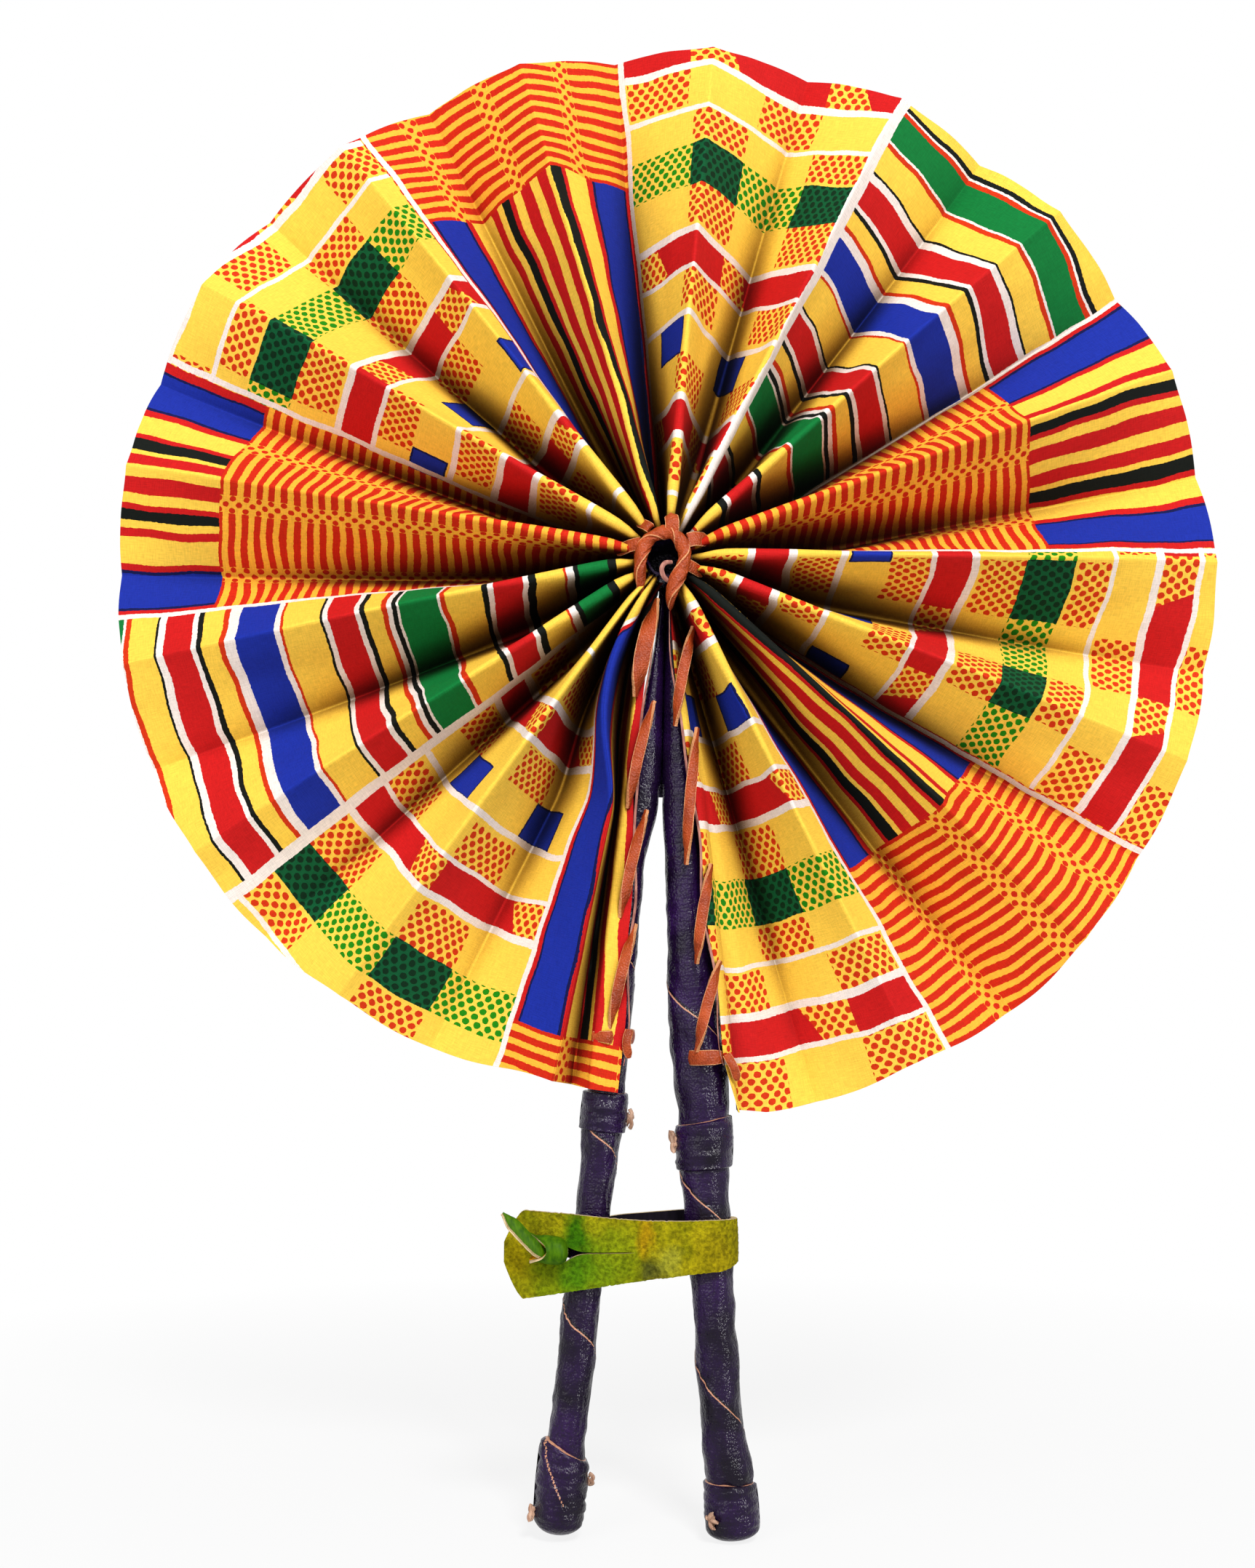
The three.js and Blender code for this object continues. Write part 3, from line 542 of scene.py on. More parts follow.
# %% Striped column
inner_bands = bands(v, 200, [
    (0, yellow), (6, black), (8, green), (17.9, black), (19.3, white_dye), (21.2, dot_red), (22.6, yellow),
    (31.2, black), (33, white_dye), (34.6, red), (43.3, white_dye), (45.2, black), (46.8, yellow),
    (56.8, dot_red), (58.2, white_dye), (59, green), (70.8, white_dye), (71.3, black), (72.8, white_dye),
    (74.6, dot_red), (76, yellow), (80.8, black), (82.2, white_dye), (84, red), (92.3, white_dye),
    (93.9, black), (95.3, yellow)])
outer_bands = bands(v, 200, [
    (0, yellow), (105.7, dot_red), (107, white_dye), (108.4, blue), (120.3, white_dye), (123, dot_red),
    (124.3, yellow), (129.8, black), (131.3, white_dye), (133.5, red), (142, white_dye), (143.8, black),
    (145.3, yellow), (153.9, dot_red), (155.2, white_dye), (156, green), (165.7, dot_red), (167.2, white_dye),
    (168.6, black), (170.2, yellow)])
striped = mix(over(v, 102), inner_bands, outer_bands)

# %% [markdown]
# The half-woven columns: stripes run out from the hub on one half, and thin red lines run across
# on the other, with three bands of checked dots.

# %% Half-woven columns
second_weave = over(p, next_weave_at)
c_weave = divide(minus(minus(p, weave_at), times(second_weave, next_weave_at - weave_at)), weave_width)
stripes = bands(c_weave, 1, [
    (0, red), (0.033, edge_blue), (0.045, blue), (0.188, edge_blue), (0.2, red), (0.226, yellow), (0.32, red),
    (0.35, yellow), (0.376, black), (0.413, red), (0.432, yellow), (0.466, red), (0.52, yellow), (0.566, red),
    (0.61, yellow), (0.632, black), (0.676, red), (0.698, yellow), (0.785, red), (0.81, edge_blue),
    (0.822, blue), (0.965, edge_blue), (0.976, red)])
line_pitch = 4.0
woven_lines = under(fraction(divide(v, line_pitch)), 0.54)
woven = mix(woven_lines, paint(weave_ground), paint(weave_red))
for middle in (0.19, 0.47, 0.77):
    x = calc("MULTIPLY_ADD", minus(c_weave, middle), weave_width, 3)
    inside = both_of(over(x, 0), under(x, 6))
    in_gap = both_of(over(x, 2), under(x, 4))
    dx = minus(fraction(divide(x, 2)), 0.5)
    row = fraction(plus(divide(v, line_pitch), times(in_gap, 0.5)))
    dy = minus(row, 0.27)
    far = plus(calc("POWER", absolute(times(dx, 2.1)), 2),
               calc("POWER", absolute(times(dy, 4.2)), 2))
    checked = mix(under(far, 1), paint(weave_ground), paint(weave_red))
    woven = mix(inside, woven, checked)
show_stripes = absolute(minus(over(v, 129), second_weave))
half_woven = mix(show_stripes, woven, stripes)

# %% [markdown]
# The boxed columns: rows of red dots in boxes, red bars with a dotted notch, small blue blocks, and
# one row of green dots, all set between thin white lines.

# %% Boxed columns
second_box = over(p, next_boxes_at)
box_x = minus(p, times(second_box, next_boxes_at))
flip = times(over(v, 148), 0.5)
# q runs twice from 0 to 1 across a column, and the box is the last part of it
q = fraction(plus(calc("MULTIPLY_ADD", box_x, 2 / box_width, flip), times(second_box, 0.43)))
dotted_row, bar_row, white_row, plain = (1, 0, 0, 1), (0, 1, 0, 1), (0, 0, 1, 1), (0, 0, 0, 1)
rows = bands(v, 200, [
    (0, plain), (21.3, white_row), (23.3, plain), (26, dotted_row), (39, plain), (39.6, white_row),
    (41.6, bar_row), (51.5, white_row), (53.6, plain), (54.2, dotted_row), (66.5, plain), (81.5, dotted_row),
    (93, white_row), (95.2, bar_row), (105.2, white_row), (107.3, plain), (108, dotted_row), (122, plain),
    (137, dotted_row), (147, white_row), (149.2, plain), (149.7, dotted_row), (161.3, white_row),
    (163.6, bar_row), (173.6, white_row), (175.6, dotted_row)])
in_box = over(q, 0.55)
dot_mask = dots(box_x, v, 3.8, 2.05, 2.35, 1.95)
boxed = mix(both_of(channel(rows, "Red"), in_box, dot_mask), paint(yellow), paint(dot_red))
bar_start = calc("MULTIPLY_ADD", over(v, 150), 68.4, calc("MULTIPLY_ADD", over(v, 90), 53.6, 41.6))
bar_height = divide(minus(v, bar_start), 10)
notch = minus(0.35, times(bar_height, 0.12))
bar = mix(over(q, notch), mix(dot_mask, paint(yellow), paint(dot_red)), paint(red))
boxed = mix(channel(rows, "Green"), boxed, bar)
in_green = both_of(over(v, 122.5), under(v, 136.5))
green_row = mix(in_box, mix(dot_mask, paint(yellow), paint(dot_green)),
                mix(dot_mask, paint(box_green), paint(box_dots)))
boxed = mix(in_green, boxed, green_row)
v_blue = minus(v, times(second_box, 3))
in_blue = both_of(over(v_blue, 66.8), under(v_blue, 79), over(q, 0.24), under(q, 0.6))
blue_core = both_of(over(v_blue, 67.4), under(v_blue, 78.4), over(q, 0.255), under(q, 0.585))
boxed = mix(in_blue, boxed, mix(blue_core, paint(edge_blue), paint(blue)))
extra_line = minus(79.6, times(second_box, 11.4))
in_line = under(absolute(minus(v, extra_line)), 0.95)
in_white = calc("MAXIMUM", channel(rows, "Blue"), in_line)
boxed = mix(in_white, boxed, paint(white_dye))

# %% [markdown]
# Last the columns are set side by side, with a white line between them, and the cotton's own
# threads and fine creases are added as colour and bump.

# %% Columns together, and the cotton
line, gap = (1, 1, 1, 1), (0, 0, 0, 1)
seams = bands(p, print_repeat, [
    (0, line), (1.4, gap), (102.4, line), (105.1, gap), (204.6, line), (207.4, gap), (299.3, line),
    (302.1, gap), (401.9, line), (404.7, gap), (495.6, line)])
colour = mix(both_of(over(p, stripes_at), under(p, weave_at)), boxed, striped)
colour = mix(both_of(over(p, weave_at), under(p, next_boxes_at)), colour, half_woven)
colour = mix(second_weave, colour, half_woven)
colour = mix(channel(seams, "Red"), colour, paint(white_dye))


def threads(stretch_x, stretch_y):
    turned = add_node(tree, "Mapping", {"Vector": uv, "Scale": (stretch_x, stretch_y, 1)})
    return add_node(tree, "TexNoise", {"Vector": turned.outputs[0], "Scale": 1.0, "Detail": 1.0},
                    noise_dimensions="2D").outputs["Fac"]


weft, warp = threads(0.35, 3.2), threads(3.2, 0.35)
weave = plus(weft, warp)
grey = span(weave, 0.6, 1.4, 0.71, 0.93)
colour = darkened(colour, grey, grey, grey)


def fold_light(reach, darkest):
    """How much light comes to a place: 1 in the open and less at the bottom of a deep fold."""
    nearby = add_node(tree, "AmbientOcclusion", {"Distance": 0.014}, samples=6)
    return span(nearby.outputs["AO"], 0.1, reach, darkest)


# the light in a fold is warm from the cloth it met on its way, and there is little of it
warm, dim = fold_light(0.7, 0.14), fold_light(0.75, 0.12)
colour = darkened(colour, *[calc("POWER", warm, power) for power in (0.7, 1.15, 1.7)])
colour = darkened(colour, dim, dim, dim)
dressed(cloth_shader, colour, weave, 0.25, 0.0002)
cloth_shader.inputs["Roughness"].default_value = 0.8
cloth_shader.inputs["Specular IOR Level"].default_value = 0.08
print("kente material has", len(tree.nodes), "nodes")

# %% [markdown]
# The 31 inner pleats each hang between two creases, which are bodies of their own in the frame.

# %% Inner pleats
for number in range(1, fold_count):
    u_start = (fold_count - number) * pleat_width

    def place(s, t, side, k=number, u0=u_start):
        return pleat_point(k, s, t, side, u0 - s * pleat_width)

    def print_at(s, t, k=number, u0=u_start):
        radius = leaf_inner + t * (rim_radius(crease_angle(k) - s * pleat_angle) - leaf_inner)
        return print_place(u0 - s * cloth_between(k, radius), radius)

    pleat = cloth_slab(f"pleat_{number + 1:02d}", place, print_at)
    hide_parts(f"leaf_fold_{number:02d}")
    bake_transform(pleat)
print("31 pleats of", len(pleat.data.polygons), "faces")

# %% [markdown]
# The first and last pleats end on the sticks. Their free edges lie in front of the sticks, where
# the thong is laced through them.

# %% Stick sizes
core_top = 45
stick_length, tip_distance, tip_width, blade_mid = 286, 26, 2, 68
cap_edge, cap_thickness = 1.3, 0.7


class Stick:
    """A stick's axis and its widths and depths, each a list of (distance from the hub, size)."""

    def __init__(self, name, angle, side, mid, shoulder, cuff, neck, waist, foot, cap, depths):
        turn = math.radians(angle)
        self.name, self.angle = name, angle
        self.along = Vector((math.sin(turn), 0, math.cos(turn)))
        self.across = Vector((math.cos(turn), 0, -math.sin(turn))) * side
        self.cuff_start, self.cuff_end = cuff[0], cuff[0] + cuff[1]
        self.cap_top = stick_length - cap[0]
        foot_at = self.cap_top - cap_edge
        self.widths = [(tip_distance, tip_width), (blade_mid, mid), shoulder, (cuff[0], cuff[2]),
                       (self.cuff_end, cuff[2]), (self.cuff_end + cuff[1], neck), waist, (foot_at, foot),
                       (self.cap_top + cap_edge, cap[1]), (stick_length, cap[1])]
        tip, shoulder_depth, waist_depth, foot_depth = depths
        self.depths = [(tip_distance, tip), (shoulder[0], shoulder_depth), (self.cuff_end, shoulder_depth),
                       (waist[0], waist_depth), (foot_at, foot_depth),
                       (self.cap_top + cap_edge, foot_depth - 2 * cap_thickness),
                       (stick_length, foot_depth - 2 * cap_thickness)]

    def size(self, stations, distance):
        result = stations[0][1]
        for (start, first), (end, second) in zip(stations, stations[1:]):
            if distance >= start:
                result = first + (second - first) * min(1, (distance - start) / (end - start))
        return result

    def half(self, distance):
        return self.size(self.widths, distance) / 2, self.size(self.depths, distance) / 2

    def point(self, distance, offset, y):
        return hub + self.along * distance + self.across * offset + Vector((0, y, 0))


right_stick = Stick("right", right_angle, -1, 8.4, (152, 14.8), (168, 13.5, 14.2), 13.2, (216, 11.9), 13.9,
                    (16.4, 12.8), (9, 14, 12, 13.4))
left_stick = Stick("left", left_angle, 1, 8, (140, 11), (160.6, 12, 11.2), 10.2, (216, 10.2), 10.8,
                   (24, 11.6), (9, 12.4, 10.6, 11.8))
edge_stand = 2.5
for stick in (right_stick, left_stick):
    print(stick.name, "stick's foot at", [round(c, 1) for c in stick.point(stick_length, 0, 0)])

# %% [markdown]
# The first pleat turns round the right stick's side. The last one goes down a deep fold, comes up
# beside the left stick and lies flat on its front. Both follow a row of points across the cloth,
# which changes a little with the distance from the hub.

# %% End pleats
left_width, right_width = 29.7, 42.0
left_corner = 5.2


def row_point(row, share):
    """A point at a share of the length of a row of points."""
    lengths = [(b - a).length for a, b in zip(row, row[1:])]
    left_over = share * sum(lengths)
    for a, b, length in zip(row, row[1:], lengths):
        if left_over <= length or b is row[-1]:
            return a.lerp(b, left_over / length)
        left_over -= length


def row_slab_point(row_at, radius, s, side, wave):
    """The slab's point on a row that changes with the radius; its front faces the way out."""
    point = row_point(row_at(radius), s)
    ahead = row_point(row_at(radius), min(1, s + 0.012))
    behind = row_point(row_at(radius), max(0, s - 0.012))
    outward = row_point(row_at(radius + 0.5), s) - point
    normal = (ahead - behind).cross(outward).normalized()
    return point + normal * (wave * math.sin(math.pi * s) + side * cloth_thickness / 2)


def left_edge(radius):
    """The free edge's offset from the left stick's axis."""
    return 2.4 - 3.6 * smooth((radius - 62) / 45) - 2.2 * smooth((radius - 112) / 30)


def left_row(radius):
    """From the last ridge down a deep fold, up beside the left stick and flat over its front."""
    ridge = crease_foot(fold_count, radius)
    chord, soft, deep, *rest = pleat_section(round(radius, 1))
    tip = -deep / 2 * hub_pinch(radius)
    inner = left_stick.across * -1
    front = -(left_stick.half(radius)[1] + edge_stand)
    out = (ridge - hub).dot(left_stick.across)
    corner = min(left_corner, out - 1.5)
    edge = min(left_edge(radius), corner - 1)
    wall = (left_width + last_ridge_print(radius) + last_ridge_slip - corner + edge) / 2 - 0.8
    depth = (front + tip) / 2 + math.sqrt(max(4, wall ** 2 - ((out - corner) / 2) ** 2))
    depth = min(depth, 11 + 3 * smooth((radius - 20) / 20))
    middle = (out + corner) / 2
    flat_edge = left_stick.point(radius, edge, 0)

    def there(offset, y):
        return ridge.lerp(flat_edge, (out - offset) / (out - edge)) + Vector((0, y, 0))

    round_off = [ridge + inner * soft * math.sin(a) + Vector((0, tip + soft * (1 - math.cos(a)), 0))
                 for a in (0, 0.5, 1.0, 1.4)]
    fold = [there(middle + x, depth + y) for x, y in ((0.45, -0.9), (0.2, -0.2), (-0.1, 0), (-0.4, -0.4))]
    bend = [there(corner + x, front + y) for x, y in ((0.3, 1.3), (0, 0.4), (-0.7, 0))]
    return round_off + fold + bend + [there(edge, front)]


def corner_cut(radius):
    """How much of the last pleat's lower corner is cut away, so that it is rounded."""
    near_rim = 2 * smooth((radius - 105) / 30) + 4.2 * smooth((radius - 146) / 26)
    return 4.2 * smooth((radius - 30) / 60) + near_rim


def right_row(radius):
    """The last pleat rounds the right stick's side: from its first crease to its free edge."""
    middle = radius * math.tan(math.radians(right_panel_angle - pleat_angle / 2))
    front = right_stick.half(radius)[1] + edge_stand
    side = min(right_stick.half(radius)[0] + edge_stand, middle - 1.1)
    cut = corner_cut(radius)
    bend = [(side * math.sin(a) + cut * (1 - math.sin(a)), -front * math.cos(a))
            for a in map(math.radians, (84, 66, 48, 32, 16, 0))]
    depth = pleat_section(round(radius, 1))[2] / 2
    first = crease_foot(1, radius) + Vector((0, depth * hub_pinch(radius), 0))
    return [first] + [right_stick.point(radius, x, y) for x, y in [(middle, 0)] + bend]


left_turn = left_panel_angle - last_ridge_turn


def left_place(s, t, side):
    angle = crease_angle(fold_count) - s * left_turn
    radius = cloth_start + t * (rim_radius(angle) - cloth_start)
    wave = cloth_wave(-s * left_width, radius) * min(1, radius / 50) * 0.5
    return row_slab_point(left_row, radius, s, side, wave)


def left_print(s, t):
    radius = leaf_inner + t * (rim_radius(crease_angle(fold_count) - s * left_turn) - leaf_inner)
    start = last_ridge_print(radius)
    return print_place(start - s * (start + last_ridge_slip + left_width), radius)


def right_place(s, t, side):
    angle = crease_angle(1) + s * right_panel_angle
    radius = cloth_start + t * (rim_radius(angle) - cloth_start)
    return row_slab_point(right_row, radius, s, -side, 0)


def right_print(s, t):
    angle = crease_angle(1) + s * right_panel_angle
    radius = leaf_inner + t * (rim_radius(angle) - leaf_inner)
    return print_place((fold_count - 1) * pleat_width + s * (right_width - corner_cut(radius)), radius)


left_pleat = cloth_slab("pleat_33", left_place, left_print, across=40)
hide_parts("leaf_fold_32", "leaf_edge_left")
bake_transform(left_pleat)
right_pleat = cloth_slab("pleat_01", right_place, right_print, across=22)
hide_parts("leaf_edge_right")
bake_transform(right_pleat)
print("end pleats", left_width, "and", right_width, "mm wide")

# %% [markdown]
# ## Finishes for leather, thong, suede, rawhide and wood
# Smooth dyed leather shows small pebbles, fine creases across the stick and darker worn patches.
# Where it was cut it shows its raw, pale edge. The wrap's UV map holds the turns of the winding in
# x and the distance along the stick in y, so the raw edge can be drawn as a thin line once a turn.

# %% Finishes


def pebbled(where, size):
    """Leather grain: the pebbles of a Voronoi pattern, size in mm."""
    inputs = {"Vector": where, "Scale": 1000 / size, "Randomness": 1.0}
    cells = add_node(where.id_data, "TexVoronoi", inputs, feature="F1")
    return cells.outputs["Distance"]


def cloudy(where, size, detail=3.0):
    clouds = add_node(where.id_data, "TexNoise", {"Vector": where, "Scale": 1000 / size, "Detail": detail})
    return clouds.outputs["Fac"]


def dyed_leather(name, dark, light, raw, roughness):
    material, tree, shader = new_finish(name)
    where = add_node(tree, "TexCoord").outputs["Object"]
    patches = span(cloudy(where, 14), 0.35, 0.7)
    grain = pebbled(where, 0.75)
    flat = add_node(tree, "Mapping", {"Vector": where, "Scale": (0.35, 0.35, 1.6)}).outputs[0]
    creases = cloudy(flat, 2.2, 4.0)
    colour = mix(patches, paint(dark), paint(light))
    colour = mix(times(span(grain, 0.45, 0.8), 0.5), colour, paint("#120A18"))
    height = calc("MULTIPLY_ADD", creases, 1.6, times(grain, -0.7))
    uv = add_node(tree, "SeparateXYZ", {0: add_node(tree, "UVMap", uv_map="wrap").outputs[0]})
    turn = fraction(plus(uv.outputs[0], times(minus(cloudy(where, 9), 0.5), 0.012)))
    # painted shadow: a thin dark line just before the raw edge, where the overlapping turn of the wrap casts
    # its shade
    colour = mix(times(over(turn, 0.985), 0.8), colour, paint("#0A0610"))
    colour = mix(under(turn, 0.009), colour, paint(raw))
    dressed(shader, colour, height, 0.55, 0.0004)
    shine = span(creases, 0.3, 0.7, roughness - 0.05, roughness + 0.08)
    connect(tree, shader.inputs["Roughness"], shine)
    shader.inputs["Specular IOR Level"].default_value = 0.18
    return material


purple = dyed_leather("purple leather", "#0D0516", "#280F40", "#B98468", 0.2)


def band_leather(name, body, stain, raw, roughness):
    """A cut thong: its UV runs across in x, so both long edges show the raw, pale hide."""
    material, tree, shader = new_finish(name)
    where = add_node(tree, "TexCoord").outputs["Object"]
    uv = add_node(tree, "SeparateXYZ", {0: add_node(tree, "UVMap", uv_map="wrap").outputs[0]})
    from_middle = absolute(minus(fraction(uv.outputs[0]), 0.5))
    edge = over(plus(from_middle, times(minus(cloudy(where, 2.5), 0.5), 0.1)), 0.455)
    colour = mix(span(cloudy(where, 5), 0.3, 0.75), paint(stain), paint(body))
    colour = mix(edge, colour, paint(raw))
    dressed(shader, colour, plus(pebbled(where, 0.6), cloudy(where, 1.5)), 0.6, 0.0004)
    shader.inputs["Roughness"].default_value = roughness
    shader.inputs["Specular IOR Level"].default_value = 0.2
    return material


tan = band_leather("tan thong", "#B04A1E", "#84300E", "#C8885A", 0.4)


def fibrous(name, dark, light, size, roughness, strength):
    material, tree, shader = new_finish(name)
    where = add_node(tree, "TexCoord").outputs["Object"]
    long_fibres = add_node(tree, "Mapping", {"Vector": where, "Scale": (1, 1, 0.3)}).outputs[0]
    fibres = cloudy(long_fibres, size, 4.0)
    dressed(shader, mix(span(fibres, 0.3, 0.7), paint(dark), paint(light)), fibres, strength, 0.0004)
    shader.inputs["Roughness"].default_value = roughness
    shader.inputs["Specular IOR Level"].default_value = 0.06
    return material


rawhide = fibrous("rawhide", "#86604C", "#CCA890", 1.0, 0.7, 0.8)
raw_cut = fibrous("raw leather edge", "#7A4A44", "#C08878", 1.2, 0.7, 0.5)
wood = fibrous("stick wood", "#7A5630", "#B08A58", 1.6, 0.75, 0.4)


def patch(where, centre, size):
    """A soft round patch: 1 at its centre and 0 beyond its edge; places and sizes in mm."""
    tree = where.id_data
    off = add_node(tree, "VectorMath", {0: where, 1: Vector(centre) * MM}, operation="SUBTRACT").outputs[0]
    off = add_node(tree, "Mapping", {"Vector": off, "Scale": [1000 / axis for axis in size]}).outputs[0]
    return span(add_node(tree, "VectorMath", {0: off}, operation="LENGTH").outputs["Value"], 1.1, 0.35)


def suede_finish(name, base, light, patches):
    """Brushed suede: clouds of two yellows, dyed or soiled patches, and a rough nap."""
    material, tree, shader = new_finish(name)
    where = add_node(tree, "TexCoord").outputs["Object"]
    nap = cloudy(where, 1.1, 6.0)
    colour = mix(span(cloudy(where, 8), 0.35, 0.65), paint(base), paint(light))
    noisy = add_node(tree, "TexNoise", {"Vector": where, "Scale": 220, "Detail": 2.0}).outputs["Color"]
    scatter = add_node(tree, "VectorMath", {0: noisy, 1: (0.006,) * 3}, operation="MULTIPLY").outputs[0]
    uneven = add_node(tree, "VectorMath", {0: where, 1: scatter}, operation="ADD").outputs[0]
    for centre, size, dye, amount in patches:
        # the noise moves every place by 3 mm on average, and so the patches go with it
        shifted = [c + 3 for c in centre]
        colour = mix(times(patch(uneven, shifted, size), amount), colour, paint(dye))
    grey = span(nap, 0.32, 0.66, 0.46, 1.1)
    dressed(shader, darkened(colour, grey, grey, grey), nap, 1.0, 0.0009)
    shader.inputs["Roughness"].default_value = 0.95
    shader.inputs["Specular IOR Level"].default_value = 0.05
    return material


suede = suede_finish("suede", "#7C7A06", "#A89C10", [
    ((-47, -8, 3), (11, 30, 12), "#6C7C06", 0.7), ((-36, -8, 6), (17, 30, 14), "#55800A", 0.75),
    ((-40.5, -8, 15), (4.5, 30, 9), "#2E6804", 0.9), ((-40, -8, 4), (6, 30, 7), "#467A08", 0.8),
    ((-28, -8, 12), (9, 30, 6), "#86900C", 0.6), ((-20.5, -8, 14), (3, 30, 7), "#B48C0C", 0.8),
    ((-18.5, -8, 4.5), (4, 30, 4), "#3E421C", 0.8), ((-14, -8, 7), (5, 30, 5), "#98982E", 0.7),
    ((0, -8, 9), (8, 30, 12), "#98860A", 0.7), ((-58, -8, 9), (5, 30, 9), "#A49208", 0.6)])
suede_inside = suede_finish("suede inside", "#C08408", "#E0A012", [])
toggle_green = fibrous("green leather", "#284E02", "#487002", 1.0, 0.5, 0.5)
# the strap's inner side: dark dye, made darker still as painted shade where it lies against and behind the
# grips
dark_dye_and_shade = fibrous("dark dye and painted shade", "#0A070C", "#18121C", 1.4, 0.7, 0.4)
pale_cut = fibrous("cut suede", "#B09A70", "#D8C298", 1.2, 0.8, 0.3)
print("finishes:", len(bpy.data.materials))

# %% [markdown]
# ## The wrapped sticks
# Each stick is covered with a strip of purple leather wound in a long spiral, so its surface rises
# a little at the overlap and shows a raw edge. A tube is made from a flat grid that is rolled up
# and welded, so one formula can give it its oval section, its bow and the overlap.

# %% A tube from a grid


def fitted(made, part, slot, *nodes):
    """Hides the solids a piece stands for, if any, and says which part it moves with. Its slot is not used.
    """
    if nodes:
        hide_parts(*nodes)
    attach(made, part)
    return made


def tube(name, place, wrap_uv, material, around=48, along=60):
    """place(turn, t) is a point in mm; turn runs once round and t from the start to the end."""
    mesh = bmesh.new()
    bmesh.ops.create_grid(mesh, x_segments=around, y_segments=along, size=0.5)
    layer = mesh.loops.layers.uv.new("wrap")
    spots = {v: (v.co.x + 0.5, v.co.y + 0.5) for v in mesh.verts}
    for face in mesh.faces:
        for loop in face.loops:
            loop[layer].uv = wrap_uv(*spots[loop.vert])
    for vertex, spot in spots.items():
        vertex.co = place(*spot) * MM
    bmesh.ops.remove_doubles(mesh, verts=mesh.verts[:], dist=1e-6)
    bmesh.ops.holes_fill(mesh, edges=[e for e in mesh.edges if e.is_boundary], sides=0)
    return finish_object(mesh, name, material)


def slab(name, place, material, across=10, along=40, thickness=1.0):
    """A strip with thickness: place(s, t) gives a point and its front normal, in mm."""
    mesh, layer, front = grid_slab(across, along, "wrap")
    spots = {v: (v.co.x + 0.5, v.co.y + 0.5) for v in mesh.verts}
    for face in mesh.faces:
        for loop in face.loops:
            loop[layer].uv = spots[loop.vert]
    for vertex, spot in spots.items():
        point, normal = place(*spot)
        vertex.co = (point + normal * (thickness / 2 if vertex in front else -thickness / 2)) * MM
    return finish_object(mesh, name, material)


wrap_pitch = 54.5
print("one turn of the wrapping takes", wrap_pitch, "mm")

# %% [markdown]
# The leather covers the stick from near the hub to the foot. Its overlap runs round it once a turn
# of the winding, and noise on top of that gives the hollows and lumps of a strip pulled tight.

# %% Leather on the sticks
gap_half_angle = math.radians((left_angle + 360 - right_angle) / 2)
wrap_top = 8.0


def stick_bow(stick, distance):
    """The right stick bends a millimetre towards the gap along its grip."""
    if stick is left_stick:
        return 0
    return -1.0 * smooth((distance - 160) / 25) * (1 - smooth((distance - 256) / 14))


def stick_surface(stick, distance, turn, margin):
    """A point on the oval stick; turn 0 is on the cloth's side and 0.75 in front."""
    half_width, half_depth = stick.half(distance)
    if stick is right_stick:
        half_width -= 0.6 * bell(distance, 251, 17)
    if distance < tip_distance + 20:
        share = smooth((distance - wrap_top) / (tip_distance + 12 - wrap_top))
        half_width, half_depth = 0.7 + (half_width - 0.7) * share, 2.6 + (half_depth - 2.6) * share
    angle = 2 * math.pi * turn
    x, y = math.cos(angle), math.sin(angle)
    bisector = distance * math.tan(gap_half_angle) - 0.1
    fuller = 1.5 if stick is right_stick else -0.8
    inner = half_width + fuller * smooth((distance - 60) / 30) * smooth((165 - distance) / 25)
    close = max(smooth((69 - distance) / 1.5), 0.75 * smooth((92 - distance) / 20))
    inner += max(0, bisector - inner) * close
    x *= (inner if x < 0 else half_width) + margin
    y *= half_depth + margin
    return stick.point(distance, x + stick_bow(stick, distance), y)


def winding(stick, distance, turn):
    if stick is right_stick:
        return distance / wrap_pitch - (turn + 0.042 * (1 - math.cos(2 * math.pi * turn))) - 0.737
    return distance / wrap_pitch + turn + 0.1 * (1 - math.cos(2 * math.pi * turn)) - 0.037


def leather_relief(stick, distance, turn, grip):
    overlap = 0.42 * (1 - smooth((winding(stick, distance, turn) % 1) / 0.3))
    angle = 2 * math.pi * turn
    start = 50 if stick is right_stick else 0
    spot = Vector((1.7 * math.cos(angle), 1.7 * math.sin(angle), distance / 7 + start))
    return (overlap + 0.55 * noise.noise(spot) + 0.28 * noise.noise(spot * 2.7)) * grip


for stick in (right_stick, left_stick):
    foot = stick_length - 1.5

    def place(turn, t, stick=stick, foot=foot):
        distance = wrap_top + t * (foot - wrap_top)
        grip = smooth((distance - 60) / 60)
        end = min(1, t / 0.008, (1 - t) / 0.004)
        bulge = 0.5 * bell(distance, 158, 7) if stick is right_stick else 0.2 * bell(distance, 150, 9)
        cover = leather_relief(stick, distance, turn, grip) + bulge
        return stick_surface(stick, distance, turn, cover - 2.0 * (1 - end))

    def wrap_uv(turn, t, stick=stick, foot=foot):
        distance = wrap_top + t * (foot - wrap_top)
        hidden = 0.5 if distance < 90 else winding(stick, distance, turn) + 20
        return hidden, distance

    def core_place(turn, t, stick=stick):
        return stick_surface(stick, core_top + t * (stick_length - 3 - core_top), turn, -1.5)

    leather = tube(f"{stick.name}_leather", place, wrap_uv, purple, around=56, along=230)
    fitted(leather, f"{stick.name}_stick", "purple_leather", f"{stick.name}_stick_wrap")
    core = tube(f"{stick.name}_wood", core_place, lambda turn, t: (turn, t), wood, around=24, along=60)
    fitted(core, f"{stick.name}_stick", "stick_wood", f"{stick.name}_stick_core")
print("leather over", [round(s.half(200)[0] * 2, 1) for s in (right_stick, left_stick)], "mm wide grips")

# %% [markdown]
# Short collars of the same leather hold the ends of the wrapping. They pucker, their edges are cut
# by eye, and the pale raw hide shows along the upper edge.

# %% Cuffs and end caps


